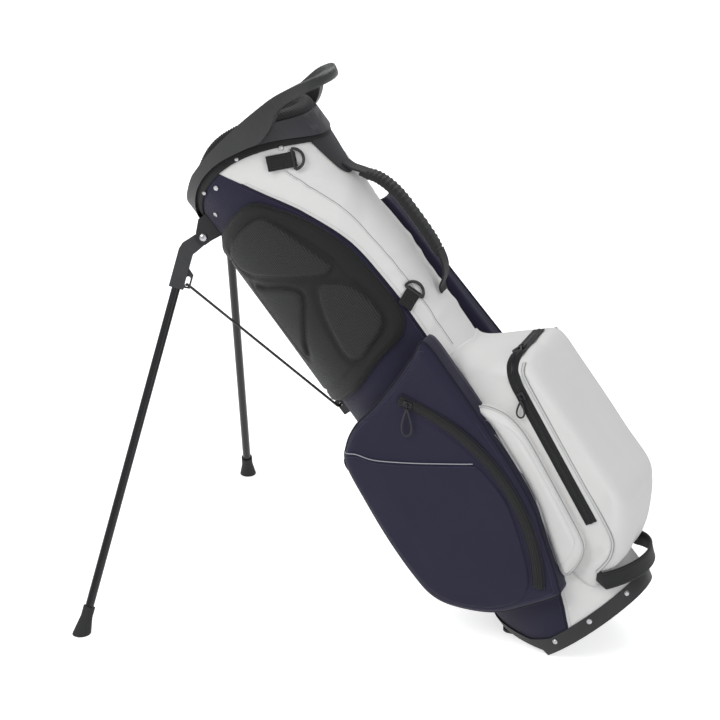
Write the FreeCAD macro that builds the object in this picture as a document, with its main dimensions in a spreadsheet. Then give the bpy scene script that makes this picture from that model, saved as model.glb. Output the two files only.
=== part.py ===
import FreeCAD, Part
import math
import os
import Sketcher
from FreeCAD import Placement, Rotation, Vector

# Golf stand bag, leaning on its opened legs. +Z is up, +X is the spine (ball pocket) side, -Y is the
# near side. The origin is the middle of the ground plate's underside.
# The bag itself is drawn upright in its own frame: x towards the spine, z along the bag from the
# base, and one placement leans it.

os.makedirs("parts", exist_ok=True)
doc = FreeCAD.newDocument("golf_stand_bag")

SIZES = [
    ("lean_angle", 40.0, "lean of the bag on its stand, degrees"),
    ("heel", 51.0, "bag axis to the edge of the base that it rocks on"),
    ("plate_start", 6.0, "heel to the near edge of the ground plate"),
    ("plate_length", 82.0, "ground plate, along the bag's depth"),
    ("plate_width", 94.0, "ground plate, across the bag"),
    ("plate_thickness", 4.0, "ground plate"),
    ("base_half_depth", 118.0, "bag at the base, half its depth"),
    ("base_half_width", 95.0, "bag at the base, half its width"),
    ("base_offset", -4.0, "middle of the base section from the bag axis"),
    ("rim_height", 24.0, "moulded rim of the base"),
    ("rim_proud", 2.0, "rim past the fabric"),
    ("tray_wall", 3.0, "wall of the base tray"),
    ("bevel_room", 9.0, "space between the bevel and the floor"),
    ("fabric", 2.0, "laminated fabric wall"),
    ("oval_ease", 19.0, "half width less the end radius of an oval"),
    ("collar_half_depth", 122.0, "throat band, half its depth"),
    ("collar_half_width", 101.0, "throat band, half its width"),
    ("collar_offset", 4.0, "middle of the collar from the bag axis"),
    ("band_wall", 5.0, "wall of the throat band"),
    ("collar_radius", 163.4, "arc of the collar's lower line, seen from the side"),
    ("collar_arc_height", 708.6, "centre of that arc"),
    ("skirt_height", 12.0, "webbing skirt under the collar"),
    ("skirt_thickness", 2.4, "webbing skirt"),
    ("throat_radius", 196.0, "arc of the throat band's upper line"),
    ("throat_arc_height", 698.0, "centre of that arc"),
    ("padding_height", 13.0, "padded throat rim"),
    ("padding_width", 16.0, "padded throat rim"),
    ("collar_top", 897.0, "top of the collar above the base"),
    ("handle_reach", 174.0, "tip of the handle from the bag axis"),
    ("handle_wall", 14.0, "handle bar, across"),
    ("hood_wall", 5.0, "collar wall at its foot"),
    ("leg_pivot_depth", 118.0, "leg pivot from the bag axis"),
    ("leg_pivot_side", 56.0, "leg pivot from the middle plane"),
    ("leg_pivot_height", 800.0, "leg pivot above the base"),
    ("leg_spread", 52.0, "opened leg from the bag axis, degrees"),
    ("leg_splay", 28.0, "leg's plane from the middle plane, degrees"),
    ("leg_offset", 20.0, "leg tube from the pivot"),
    ("leg_tube_radius", 6.5, "leg tube"),
    ("leg_tube_wall", 1.2, "leg tube"),
    ("yoke_length", 84.0, "leg yoke below the pivot"),
    ("yoke_thickness", 13.0, "leg yoke between the bracket's ears"),
    ("ear_thickness", 5.0, "bracket ear"),
    ("running_gap", 0.4, "space beside a turning piece"),
    ("bolt_radius", 4.0, "leg pivot bolt"),
    ("tab_drop", 75.0, "wire hole below the leg pivot"),
    ("tab_offset", 6.0, "wire hole, outboard of the leg pivot"),
    ("tab_slot", 9.0, "extra length of the wire hole"),
    ("wire_radius", 2.0, "spreader wire"),
    ("slider_height", 474.0, "sliding block above the base"),
    ("slider_depth", 136.0, "wire ends from the bag axis"),
    ("wire_end_side", 9.0, "wire ends from the middle plane"),
    ("rod_radius", 2.5, "push rod"),
    ("rod_depth", 127.0, "push rod from the bag axis"),
    ("rod_foot_depth", 108.0, "foot of the push rod from the bag axis"),
    ("rod_foot_height", 57.0, "foot of the push rod above the base"),
    ("pad_thickness", 12.0, "hip pad"),
    ("mesh_panel_height", 3.0, "raised mesh panels of the hip pad"),
    ("side_pocket_face", 127.0, "garment pocket's face from the middle plane"),
    ("side_pocket_back", 80.0, "garment pocket's back beside the legs"),
    ("ball_pocket_half_width", 81.0, "ball pocket"),
    ("zip_tape_width", 12.0, "zip tracks"),
    ("zip_arc_radius", 276.0, "curved zip of the garment pocket"),
    ("zip_arc_depth", -187.0, "centre of that curve from the bag axis"),
    ("zip_arc_height", 276.0, "centre of that curve above the base"),
    ("strap_width", 28.0, "trunk strap"),
    ("grip_width", 32.0, "carry grip"),
    ("grip_thickness", 13.0, "carry grip"),
    ("ring_radius", 15.0, "D-rings, middle of the wire"),
    ("ring_wire", 2.2, "D-rings, radius of the wire"),
]
sheet = doc.addObject("Spreadsheet::Sheet", "Sizes")
for row, (alias, value, meaning) in enumerate(SIZES, start=1):
    sheet.set(f"A{row}", meaning)
    sheet.set(f"B{row}", str(value))
    sheet.setAlias(f"B{row}", alias)
doc.recompute()


def size(alias):
    return float(sheet.get(alias))


lean = math.radians(size("lean_angle"))
heel = size("heel")
plate_middle = size("plate_start") + size("plate_length") / 2
LEANING = Placement(
    Vector(heel * math.cos(lean) + plate_middle, 0, heel * math.sin(lean)),
    Rotation(Vector(0, 1, 0), -size("lean_angle")),
)
UPRIGHT = Placement()
nodes = []


# ---------------------------------------------------------------- shared drawing helpers

def feature(label, shape, frame=UPRIGHT):
    """A sub-part from a finished shape, drawn in the bag's frame or in a frame within it."""
    item = doc.addObject("Part::Feature", label)
    item.Label = label
    item.Shape = shape
    item.Placement = LEANING.multiply(frame)
    nodes.append(item)
    return item


def body(label, frame=UPRIGHT):
    item = doc.addObject("PartDesign::Body", label)
    item.Label = label
    item.Placement = LEANING.multiply(frame)
    nodes.append(item)
    return item


def sketch(owner, plane, name, offset=0.0):
    """A sketch on one of the body's own planes; XZ sketches have x across and y up the bag."""
    item = owner.newObject("Sketcher::SketchObject", name)
    base = next(f for f in owner.Origin.OriginFeatures if f.Role == plane)
    item.AttachmentSupport = [(base, "")]
    item.MapMode = "FlatFace"
    item.AttachmentOffset = Placement(Vector(0, 0, offset), Rotation())
    return item


def add_polygon(item, points):
    corners = [Vector(x, y, 0) for x, y in points]
    for start, end in zip(corners, corners[1:] + corners[:1]):
        item.addGeometry(Part.LineSegment(start, end), False)


def add_circle(item, x, y, radius, cell=None):
    index = item.addGeometry(Part.Circle(Vector(x, y, 0), Vector(0, 0, 1), radius), False)
    if cell:
        number = item.addConstraint(Sketcher.Constraint("Radius", index, radius))
        item.setExpression(f"Constraints[{number}]", f"Sizes.{cell}")
    return index


def pad(owner, profile, length, name, both_ways=False, cell=None):
    item = owner.newObject("PartDesign::Pad", name)
    item.Profile = profile
    item.Length = length
    item.Midplane = both_ways
    if cell:
        item.setExpression("Length", f"Sizes.{cell}")
    return item


def pocket(owner, profile, name, length=None):
    """A cut both ways from the sketch, right through unless a length is given."""
    item = owner.newObject("PartDesign::Pocket", name)
    item.Profile = profile
    item.Midplane = True
    if length is None:
        item.Type = 1
    else:
        item.Length = length
    return item


def oval_edges(half_depth, half_width, middle, ease=None):
    """Four tangent arcs: two round ends and two flatter sides."""
    end = half_width - (size("oval_ease") if ease is None else ease)
    reach = half_depth - end
    side = (reach ** 2 + half_width ** 2 - end ** 2) / (2 * (half_width - end))
    drop = side - half_width
    turn = math.atan2(drop, reach)

    def arc(cx, cy, radius, first, last):
        spots = [first, (first + last) / 2, last]
        return Part.Arc(*[Vector(middle + cx + radius * math.cos(t), cy + radius * math.sin(t), 0) for t in spots])

    return [
        arc(reach, 0, end, -turn, turn),
        arc(0, -drop, side, turn, math.pi - turn),
        arc(-reach, 0, end, math.pi - turn, math.pi + turn),
        arc(0, drop, side, math.pi + turn, 2 * math.pi - turn),
    ]


def oval_wire(half_depth, half_width, middle, height):
    wire = Part.Wire([arc.toShape() for arc in oval_edges(half_depth, half_width, middle)])
    wire.translate(Vector(0, 0, height))
    return wire


def side_prism(points, left=-400.0, right=400.0):
    """A closed outline of (x, z) points drawn from the side and extruded across the bag."""
    corners = [Vector(x, left, z) for x, z in points]
    wire = Part.makePolygon(corners + corners[:1])
    return Part.Face(wire).extrude(Vector(0, right - left, 0))


# The trunk: sections of the bag's fabric body from the base up, as
# (height, half depth, half width, middle).
base_depth, base_width, base_middle = size("base_half_depth"), size("base_half_width"), size("base_offset")
TRUNK = [
    (0.0, base_depth, base_width, base_middle),
    (300.0, base_depth - 2, base_width, base_middle),
    (480.0, base_depth, base_width, 2.0),
    (620.0, base_depth + 1, base_width - 1, 4.5),
    (760.0, base_depth - 2, base_width - 1, 2.0),
    (900.0, base_depth + 2, base_width + 3, 2.0),
]


def trunk(outward):
    """The trunk's solid, offset outwards."""
    wires = [oval_wire(a + outward, b + outward, c, z) for z, a, b, c in TRUNK]
    return Part.makeLoft(wires, True, True)


def saddle(radius, centre_height, middle, half=170.0, floor=-60.0):
    """Everything below an arc drawn from the side: the collar's lines are cut this way."""
    half = min(half, radius * 0.985)
    rise = math.sqrt(radius ** 2 - half ** 2)
    left = Vector(middle - half, -400, centre_height + rise)
    top = Vector(middle, -400, centre_height + radius)
    right = Vector(middle + half, -400, centre_height + rise)
    edges = [Part.Arc(left, top, right).toShape()]
    corners = [right, Vector(400, -400, right.z), Vector(400, -400, floor), Vector(-400, -400, floor),
               Vector(-400, -400, left.z), left]
    edges += [Part.LineSegment(a, b).toShape() for a, b in zip(corners, corners[1:])]
    return Part.Face(Part.Wire(edges)).extrude(Vector(0, 800, 0))


def collar_line(raised=0.0):
    return saddle(size("collar_radius"), size("collar_arc_height") + raised, size("collar_offset"))


def throat_line(raised=0.0):
    return saddle(size("throat_radius"), size("throat_arc_height") + raised, size("collar_offset") + 2)


# ---------------------------------------------------------------- base tray

rim_top, rim_proud, tray_wall = size("rim_height"), size("rim_proud"), size("tray_wall")
bevel_slope = math.tan(lean)
bevel_lift = size("bevel_room") / math.cos(lean)
leg_side = -150.0


def underside(lift):
    """Space above the tray's floor: level to the heel, a step, then up along the bevel."""
    step = -heel + lift
    return side_prism([
        (400, lift), (step, lift), (step, lift + bevel_lift),
        (leg_side, lift + bevel_lift + (step - leg_side) * bevel_slope), (leg_side, 1200), (400, 1200)])


def below_rim(raised=0.0):
    """Space below the tray's upper edge: level round the spine, rising beside the bevel."""
    top = rim_top + raised
    knee = -heel + 26
    return side_prism([
        (400, -50), (400, top), (knee, top), (-heel - 8, top + 10),
        (leg_side, top + bevel_lift + (-heel - leg_side) * bevel_slope - 8), (leg_side, -50)])


def tray_loft(inset):
    foot, rim = rim_proud - 3 - inset, rim_proud - inset
    return Part.makeLoft([
        oval_wire(base_depth + foot, base_width + foot, base_middle, -0.01),
        oval_wire(base_depth + rim, base_width + rim, base_middle, rim_top / 2),
        oval_wire(base_depth + rim, base_width + rim, base_middle, 130)], True, True)


notch_inner, notch_half, lug_half = -80.0, 15.0, 25.0
pin_along, pin_up = 10.7, 5.0
pin_x = -heel - pin_along * math.cos(lean) + pin_up * math.sin(lean)
pin_z = pin_along * math.sin(lean) + pin_up * math.cos(lean)
knuckle_radius, hinge_pin_radius, hinge_fit = 3.8, 2.0, 0.05
tray_block = tray_loft(0).common(underside(0)).common(below_rim())
housing = Part.makeBox(70, 2 * notch_half + 6, 150, Vector(notch_inner + 3 - 70, -notch_half - 3, -10))
notch = Part.makeBox(80, 2 * notch_half, 200, Vector(notch_inner - 80, -notch_half, -20))
lug = Part.makeCylinder(knuckle_radius, 2 * lug_half, Vector(pin_x, -lug_half, pin_z), Vector(0, 1, 0))
lug = lug.fuse(Part.makeBox(-heel - pin_x + 1, 2 * lug_half, 7, Vector(pin_x, -lug_half, pin_z - 3.5)))
lug_bore = Part.makeCylinder(hinge_pin_radius, 2 * lug_half, Vector(pin_x, -lug_half, pin_z), Vector(0, 1, 0))
tray = tray_block.cut(tray_loft(tray_wall).common(underside(4)))
tray = tray.fuse(tray_block.common(housing)).cut(notch).fuse(lug).cut(lug_bore)
feature("base_tray", tray.removeSplitter())

# Round-headed rivets hold the fabric to the rim and to the collar's skirt.


def rivet(spot, outward, head=4.0, height=1.6):
    away = Vector(*outward).normalize()
    return Part.makeCone(head, head * 0.6, height, Vector(*spot), away)


def on_oval(half_depth, half_width, middle, degrees):
    """The point of an oval seen at an angle from its middle, and the way out of it there."""
    edge = Part.Wire([arc.toShape() for arc in oval_edges(half_depth, half_width, middle)])
    turn = math.radians(degrees)
    ray = Part.LineSegment(Vector(middle, 0, 0), Vector(middle + 400 * math.cos(turn), 400 * math.sin(turn), 0))
    spot = edge.distToShape(ray.toShape())[1][0][0]
    wider = Part.Wire([arc.toShape() for arc in oval_edges(half_depth + 5, half_width + 5, middle)])
    foot = wider.distToShape(Part.Vertex(spot))[1][0][0]
    return spot, foot.sub(spot).normalize()


rim_rivets = []
for degrees in (-100, -62, -25, 25, 62, 100):
    spot, out = on_oval(base_depth + rim_proud, base_width + rim_proud, base_middle, degrees)
    rim_rivets.append(rivet((spot.x, spot.y, 16), out))
feature("base_rivets", Part.makeCompound(rim_rivets))

# ---------------------------------------------------------------- fabric trunk

fabric = size("fabric")
trunk_outer = trunk(0)
trunk_shell = trunk_outer.cut(trunk(-fabric)).cut(below_rim()).common(collar_line())
# The seam between white and navy fabric, seen from the side, from the base up.
SEAM = [(4, 4), (25, 55), (56, 128), (85, 209), (93, 270), (91, 371), (91, 479), (92, 580), (85, 669), (58, 748),
        (20, 817), (-20, 890)]


def seam_prism(shift=0.0):
    curve = Part.BSplineCurve()
    curve.interpolate([Vector(x + shift, -400, z) for x, z in SEAM])
    first, last = curve.StartPoint, curve.EndPoint
    corners = [last, Vector(400, -400, last.z), Vector(400, -400, first.z), first]
    edges = [curve.toShape()] + [Part.LineSegment(a, b).toShape() for a, b in zip(corners, corners[1:])]
    return Part.Face(Part.Wire(edges)).extrude(Vector(0, 800, 0))


spine_side = seam_prism()
near_half = Part.makeBox(800, 400, 1400, Vector(-400, -400, -100))
far_half = Part.makeBox(800, 400, 1400, Vector(-400, 0, -100))
feature("white_front_panel", trunk_shell.common(spine_side))
navy_shell = trunk_shell.cut(spine_side)
feature("near_side_panel", navy_shell.common(near_half))
feature("far_side_panel", navy_shell.common(far_half))

# ---------------------------------------------------------------- collar

band_depth, band_width, band_middle = size("collar_half_depth"), size("collar_half_width"), size("collar_offset")


def straight_oval(half_depth, half_width, middle, low=700.0, high=960.0):
    return Part.Face(oval_wire(half_depth, half_width, middle, low)).extrude(Vector(0, 0, high - low))


skirt_thickness = size("skirt_thickness")
skirt = trunk(skirt_thickness).cut(trunk_outer).common(collar_line()).cut(collar_line(-size("skirt_height")))
feature("collar_skirt", skirt)
band_wall = size("band_wall")
band_ring = straight_oval(band_depth, band_width, band_middle).cut(
    straight_oval(band_depth - band_wall, band_width - band_wall, band_middle))
feature("throat_band", band_ring.common(throat_line()).cut(collar_line()))
pad_width = size("padding_width")
padding_ring = straight_oval(band_depth - 1, band_width - 1, band_middle).cut(
    straight_oval(band_depth - pad_width, band_width - pad_width, band_middle))
feature("throat_padding", padding_ring.common(throat_line(size("padding_height"))).cut(throat_line()))

# The moulded collar: a hood round the leg side that sweeps up into the handle bar.
hood_foot, collar_top = 780.0, size("collar_top")
hood_wall, bar = size("hood_wall"), size("handle_wall")
hood_gap = 0.2
reach, hood_back = size("handle_reach"), band_depth - band_middle + hood_wall
top_depth, top_middle = (reach + hood_back) / 2, (reach - hood_back) / 2
inner_reach, inner_back = reach - bar, hood_back - hood_wall
inner_depth, inner_middle = (inner_reach + inner_back) / 2, (inner_reach - inner_back) / 2
hood_outer = Part.makeLoft([
    oval_wire(band_depth + hood_wall, band_width + hood_wall, band_middle, hood_foot),
    oval_wire(band_depth + hood_wall + 2, band_width + hood_wall + 1, band_middle + 2, 842),
    oval_wire(top_depth, band_width + hood_wall + 3, top_middle, 884),
    oval_wire(top_depth, band_width + hood_wall + 3, top_middle, collar_top + 10)], True, False)
hood_inner = Part.makeLoft([
    oval_wire(band_depth + hood_gap, band_width + hood_gap, band_middle, hood_foot - 1),
    oval_wire(band_depth + hood_gap, band_width + hood_gap, band_middle, 842),
    oval_wire(inner_depth, band_width - 3, inner_middle, 884),
    oval_wire(inner_depth, band_width - 3, inner_middle, collar_top + 11)], True, False)


def hood_outline():
    """The collar from the side: its foot follows the collar line, then the arm leaves the band."""
    radius, centre_x, centre_z = size("collar_radius"), band_middle, size("collar_arc_height")

    def at(x):
        return Vector(x, -400, centre_z + math.sqrt(radius ** 2 - (x - centre_x) ** 2))

    foot = Part.Arc(at(-140), at(-40), at(66))
    arm = Part.Arc(at(66), Vector(92, -400, 867), Vector(116, -400, 884))
    bar_low = Part.Arc(Vector(116, -400, 884), Vector(150, -400, 882), Vector(190, -400, 869))
    bar_top = Part.Arc(Vector(190, -400, 886), Vector(120, -400, 896), Vector(40, -400, collar_top))
    back = Part.Arc(Vector(-45, -400, collar_top), Vector(-90, -400, 884), Vector(-140, -400, 838))
    pieces = [foot, arm, bar_low, Part.LineSegment(Vector(190, -400, 869), Vector(190, -400, 886)), bar_top,
              Part.LineSegment(Vector(40, -400, collar_top), Vector(-45, -400, collar_top)), back,
              Part.LineSegment(Vector(-140, -400, 838), at(-140))]
    return Part.Face(Part.Wire([piece.toShape() for piece in pieces])).extrude(Vector(0, 800, 0))


band_space = straight_oval(band_depth + hood_gap, band_width + hood_gap, band_middle)
band_space = band_space.common(throat_line(size("padding_height") + 1))
collar = hood_outer.cut(hood_inner).common(hood_outline()).cut(band_space)
collar = max(collar.Solids, key=lambda solid: solid.Volume)
feature("collar_handle", collar)

bar_half, bar_low, bar_high = 6.0, 832.0, 852.0
frame_bars = Part.makeBox(2 * (band_depth - band_wall), 2 * bar_half, bar_high - bar_low,
                          Vector(band_middle - band_depth + band_wall, -bar_half, bar_low))
frame_bars = frame_bars.fuse(Part.makeBox(2 * bar_half, 2 * (band_width - band_wall), bar_high - bar_low,
                                          Vector(-bar_half, -band_width + band_wall, bar_low)))
inside_band = straight_oval(band_depth - band_wall, band_width - band_wall, band_middle)
feature("divider_frame", frame_bars.common(inside_band).common(trunk(-fabric)).removeSplitter())
sheet_half = 1.0
divider = Part.makeBox(400, 2 * sheet_half, bar_low - 20, Vector(-200, -sheet_half, 20))
divider = divider.common(trunk(-fabric - 1)).common(underside(6)).cut(
    Part.makeBox(80, 60, 140, Vector(notch_inner + 4 - 80, -30, 0)))
feature("divider_sheet", divider)

collar_rivets = []
for side in (-1, 1):
    for x in (38, 96, -62):
        z = size("collar_arc_height") + math.sqrt(size("collar_radius") ** 2 - (x - band_middle) ** 2)
        z -= size("skirt_height") * 0.6
        half = base_depth + skirt_thickness
        degrees = side * math.degrees(math.acos(max(-1, min(1, (x - 2) / half))))
        spot, out = on_oval(base_depth + skirt_thickness, base_width + 1 + skirt_thickness, 2.0, degrees)
        collar_rivets.append(rivet((spot.x, spot.y, z), out).cut(skirt))
feature("collar_rivets", Part.makeCompound(collar_rivets))

# ---------------------------------------------------------------- stays

stay_radius, stay_foot, stay_top = 3.0, 6.0, bar_low - 2
for label, x, y in (("stay_spine", 104, 8), ("stay_near", 26, -84), ("stay_far", 26, 84)):
    stay = doc.addObject("Part::Cylinder", label)
    stay.Label = label
    stay.Radius = stay_radius
    stay.Height = stay_top - stay_foot
    stay.Placement = LEANING.multiply(Placement(Vector(x, y, stay_foot), Rotation()))
    nodes.append(stay)

# ---------------------------------------------------------------- hip pad and pockets

soft_gap = 0.3
pad_thickness, mesh_height = size("pad_thickness"), size("mesh_panel_height")
# Outlines seen from the near side, as (x, z).
HIP_PAD = [(-150, 768), (-106, 772), (-74, 790), (-45, 797), (-4, 800), (18, 791), (50, 744), (72, 697), (84, 630), (88, 556),
           (80, 527), (60, 516), (28, 509), (-21, 493), (-60, 487), (-150, 484)]
hip_shell = trunk(pad_thickness).cut(trunk(soft_gap))
far_pad_edge = -40.0
far_pad_cut = Part.makeBox(500, 300, 1000, Vector(far_pad_edge, 0, 0))
hip_pad = hip_shell.common(side_prism(HIP_PAD)).cut(far_pad_cut)

MESH_PANELS = [
    [(-86, 772), (-40, 779), (0, 781), (24, 752), (42, 716), (44, 700), (20, 694), (-20, 700), (-60, 714), (-86, 730)],
    [(-86, 690), (-40, 680), (-8, 662), (-20, 640), (-60, 600), (-86, 582)],
    [(30, 672), (52, 664), (64, 620), (68, 566), (60, 546), (30, 534), (4, 528), (-14, 560), (8, 620)],
]
mesh_shell = trunk(pad_thickness + mesh_height).cut(trunk(pad_thickness))
mesh_pieces = [mesh_shell.common(side_prism(outline)).common(near_half) for outline in MESH_PANELS]
feature("pad_mesh_panels", Part.makeCompound([piece.Solids[0] for piece in mesh_pieces]))

NEAR_POCKET = [(112, 495), (83, 486), (35, 470), (-17, 456), (-66, 447), (-99, 429), (-118, 407), (-131, 345),
               (-139, 277), (-141, 216), (-136, 172), (-112, 138), (-65, 103), (-14, 89), (41, 78), (48, 86),
               (66, 128), (81, 169), (95, 209), (104, 262), (111, 330), (114, 434)]
pocket_face, pocket_back = size("side_pocket_face"), size("side_pocket_back")
face_ease = 9.0


def inset_prism(points, first, second, ease):
    """An outline from the side, extruded from one side plane to the next and eased at its face."""
    xs, zs = [x for x, z in points], [z for x, z in points]
    middle = ((min(xs) + max(xs)) / 2, (min(zs) + max(zs)) / 2)
    shrink = (1 - 2 * ease / (max(xs) - min(xs)), 1 - 2 * ease / (max(zs) - min(zs)))
    smaller = [tuple(m + (p - m) * k for p, m, k in zip(point, middle, shrink)) for point in points]
    third = second + math.copysign(ease, second - first)
    wires = [Part.makePolygon([Vector(x, y, z) for x, z in outline + outline[:1]])
             for outline, y in ((points, first), (points, second), (smaller, third))]
    return Part.makeLoft(wires, True, True)


clear_trunk = trunk(soft_gap)
near_pocket = inset_prism(NEAR_POCKET, -pocket_back, -(pocket_face - face_ease), face_ease).cut(clear_trunk)
near_pocket = max(near_pocket.Solids, key=lambda solid: solid.Volume)
feature("garment_pocket", near_pocket)

FAR_POCKET = [(106, 668), (84, 690), (30, 684), (-10, 668), (-30, 620), (-34, 500), (-60, 462), (-118, 430), (-131, 345),
              (-139, 277), (-141, 216), (-136, 172), (-112, 138), (-65, 103), (-14, 89), (41, 78), (66, 128),
              (90, 209), (106, 300), (112, 460)]
far_pocket = inset_prism(FAR_POCKET, pocket_back, pocket_face - face_ease, face_ease).cut(clear_trunk)
far_pocket = max(far_pocket.Solids, key=lambda solid: solid.Volume)
feature("apparel_pocket", far_pocket)
feature("hip_pad", hip_pad.cut(far_pocket))

BALL_POCKET = [(60, 66), (96, 60), (133, 68), (166, 95), (190, 122), (201, 146), (207, 200), (211, 270), (215, 350),
               (214, 374), (206, 392), (174, 408), (148, 440), (60, 470)]
ball_half = size("ball_pocket_half_width")
ball_round = 34.0


def rounded_plan(half_width, front, low, high, radius):
    """A block with its two front upright edges rounded."""
    block = Part.makeBox(front + 100, 2 * half_width, high - low, Vector(-100, -half_width, low))
    edges = [e for e in block.Edges if abs(e.Vertexes[0].X - front) < 1 and abs(e.Vertexes[-1].X - front) < 1
             and abs(e.Vertexes[0].Y - e.Vertexes[-1].Y) < 1]
    return block.makeFillet(radius, edges)


ball_pocket = side_prism(BALL_POCKET).common(rounded_plan(ball_half, 216, 20, 500, ball_round)).cut(clear_trunk)
ball_pocket = ball_pocket.cut(near_pocket).cut(far_pocket)
ball_pocket = max(ball_pocket.Solids, key=lambda solid: solid.Volume)
feature("ball_pocket", ball_pocket)

ACCESSORY_POCKET = [(105, 372), (125, 360), (138, 339), (143, 312), (141, 282), (132, 227), (123, 172), (117, 131),
                    (107, 112), (85, 99), (58, 96), (68, 128), (83, 169), (98, 209), (107, 262), (113, 330)]
accessory_face = 104.0
accessory = inset_prism(ACCESSORY_POCKET, -60.0, -(accessory_face - 4), 4.0).cut(clear_trunk)
accessory = accessory.cut(ball_pocket).cut(near_pocket)
feature("accessory_pocket", max(accessory.Solids, key=lambda solid: solid.Volume))

# The slip pocket: a sheet sewn on the garment pocket's face, open along its piped upper edge.
SLIP_POCKET = [(-120, 330), (-86, 408), (-39, 370), (6, 344), (52, 318), (60, 250), (48, 180), (10, 112), (-30, 108),
               (-100, 150), (-126, 200)]
slip_thickness = 1.6
slip = side_prism(SLIP_POCKET, -pocket_face - slip_thickness, -pocket_face)
feature("slip_pocket", slip)

patch_outline = [Vector(0, y, z) for y, z in
                 ((-36, 835), (-30, 800), (-20, 768), (-10, 752), (10, 752), (20, 768), (30, 800), (36, 835))]
patch_prism = Part.Face(Part.makePolygon(patch_outline + patch_outline[:1])).extrude(Vector(300, 0, 0))
patch = trunk(2.0).cut(trunk_outer).common(patch_prism).common(collar_line(-size("skirt_height")))
feature("spine_patch", patch)

# ---------------------------------------------------------------- zips of the pockets

tape = size("zip_tape_width")
zip_radius, zip_x, zip_z = size("zip_arc_radius"), size("zip_arc_depth"), size("zip_arc_height")
zip_first, zip_last = -38.0, 38.0
track_thickness = 1.6


def zip_arc_band(half_width, first, last, front, thickness):
    """A band that follows the garment pocket's curved zip, standing on the pocket's face."""
    axis = Vector(0, 1, 0)
    start = Vector(zip_x, front - thickness, zip_z)
    ring = Part.makeCylinder(zip_radius + half_width, thickness, start, axis).cut(
        Part.makeCylinder(zip_radius - half_width, thickness, start, axis))
    wedge = [Vector(zip_x, front - thickness - 1, zip_z)]
    for step in range(5):
        turn = math.radians(first + (last - first) * step / 4)
        wedge.append(Vector(zip_x + 400 * math.cos(turn), front - thickness - 1, zip_z + 400 * math.sin(turn)))
    sector = Part.Face(Part.makePolygon(wedge + wedge[:1])).extrude(Vector(0, thickness + 2, 0))
    return ring.common(sector)


feature("garment_zip_track", zip_arc_band(tape / 2, zip_first, zip_last, -pocket_face, track_thickness).cut(slip))

# Ball pocket zip: a straight run on the near side, and a run across the top.
ball_zip_low, ball_zip_high = Vector(140, 0, 140), Vector(174, 0, 362)
zip_run = ball_zip_high.sub(ball_zip_low)
zip_length = zip_run.Length
run_frame = Placement(Vector(ball_zip_low.x, -ball_half, ball_zip_low.z),
                      Rotation(Vector(0, 1, 0), math.degrees(math.atan2(zip_run.x, zip_run.z))))
side_track = Part.makeBox(tape, track_thickness, zip_length, Vector(-tape / 2, -track_thickness, 0))
side_track.Placement = run_frame
top_half = 44.0
top_slope = math.degrees(math.atan2(16, 32))
top_frame = Placement(Vector(190, 0, 400), Rotation(Vector(0, 1, 0), top_slope))
top_track = Part.makeBox(tape, 2 * top_half, track_thickness, Vector(-tape / 2, -top_half, 0.2))
top_track.Placement = top_frame
feature("ball_zip_track", Part.makeCompound([side_track, top_track]))


bridge_pin_height = 4.1


def slider_shape(length=13.0, width=9.0, height=3.0, bridge_turn=0.0):
    """A zip slider: a chamfered body with a bridge that its pull hooks through."""
    block = Part.makeBox(width, height, length, Vector(-width / 2, -height, -length / 2))
    block = block.makeChamfer(1.2, [e for e in block.Edges if abs(e.BoundBox.YMin + height) < 0.01
                                    and e.BoundBox.YLength < 0.01])
    bridge = Part.makeBox(2.4, 3.2, 5.6, Vector(-1.2, -height - 3.2, -2.8))
    window = Part.makeBox(4, 1.8, 3.2, Vector(-2, -bridge_pin_height - 0.9, -1.6))
    bridge = bridge.cut(window)
    bridge.rotate(Vector(0, 0, 0), Vector(0, 1, 0), bridge_turn)
    return block.fuse(bridge).removeSplitter()


def pull_shape(length):
    """A cord pull: a wire stirrup through the bridge, with a looped tab hanging from it."""
    stirrup = Part.makeCylinder(0.6, 8.4, Vector(-4.2, 0, 0), Vector(1, 0, 0))
    for x in (-4.2, 3.0):
        stirrup = stirrup.fuse(Part.makeBox(1.2, 1.2, 8.0, Vector(x, -0.6, -8.0)))
    tab = Part.makeBox(8.4, 1.6, length - 7.5, Vector(-4.2, -0.8, -length))
    tab = tab.makeFillet(3.0, [e for e in tab.Edges if abs(e.BoundBox.YLength - 1.6) < 0.01
                               and e.BoundBox.ZMin < 1 - length])
    hole = Part.makeBox(3.6, 4, (length - 7.5) * 0.55, Vector(-1.8, -2, -length + 2.4))
    return stirrup.fuse(tab.cut(hole)).removeSplitter()


slider_gap = 0.1
zip_top_turn = math.radians(zip_last - 3.0)
garment_slider_spot = Vector(zip_x + zip_radius * math.cos(zip_top_turn), -pocket_face - track_thickness - slider_gap,
                             zip_z + zip_radius * math.sin(zip_top_turn))
garment_slider_frame = Placement(garment_slider_spot, Rotation(Vector(0, 1, 0), -math.degrees(zip_top_turn)))
feature("garment_zip_slider", slider_shape(bridge_turn=90.0), garment_slider_frame)
pull_hang = Rotation(Vector(0, 1, 0), size("lean_angle"))
garment_pull_frame = Placement(garment_slider_spot.add(Vector(0, -bridge_pin_height, 0)), pull_hang)
feature("garment_zip_pull", pull_shape(36), garment_pull_frame)

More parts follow.
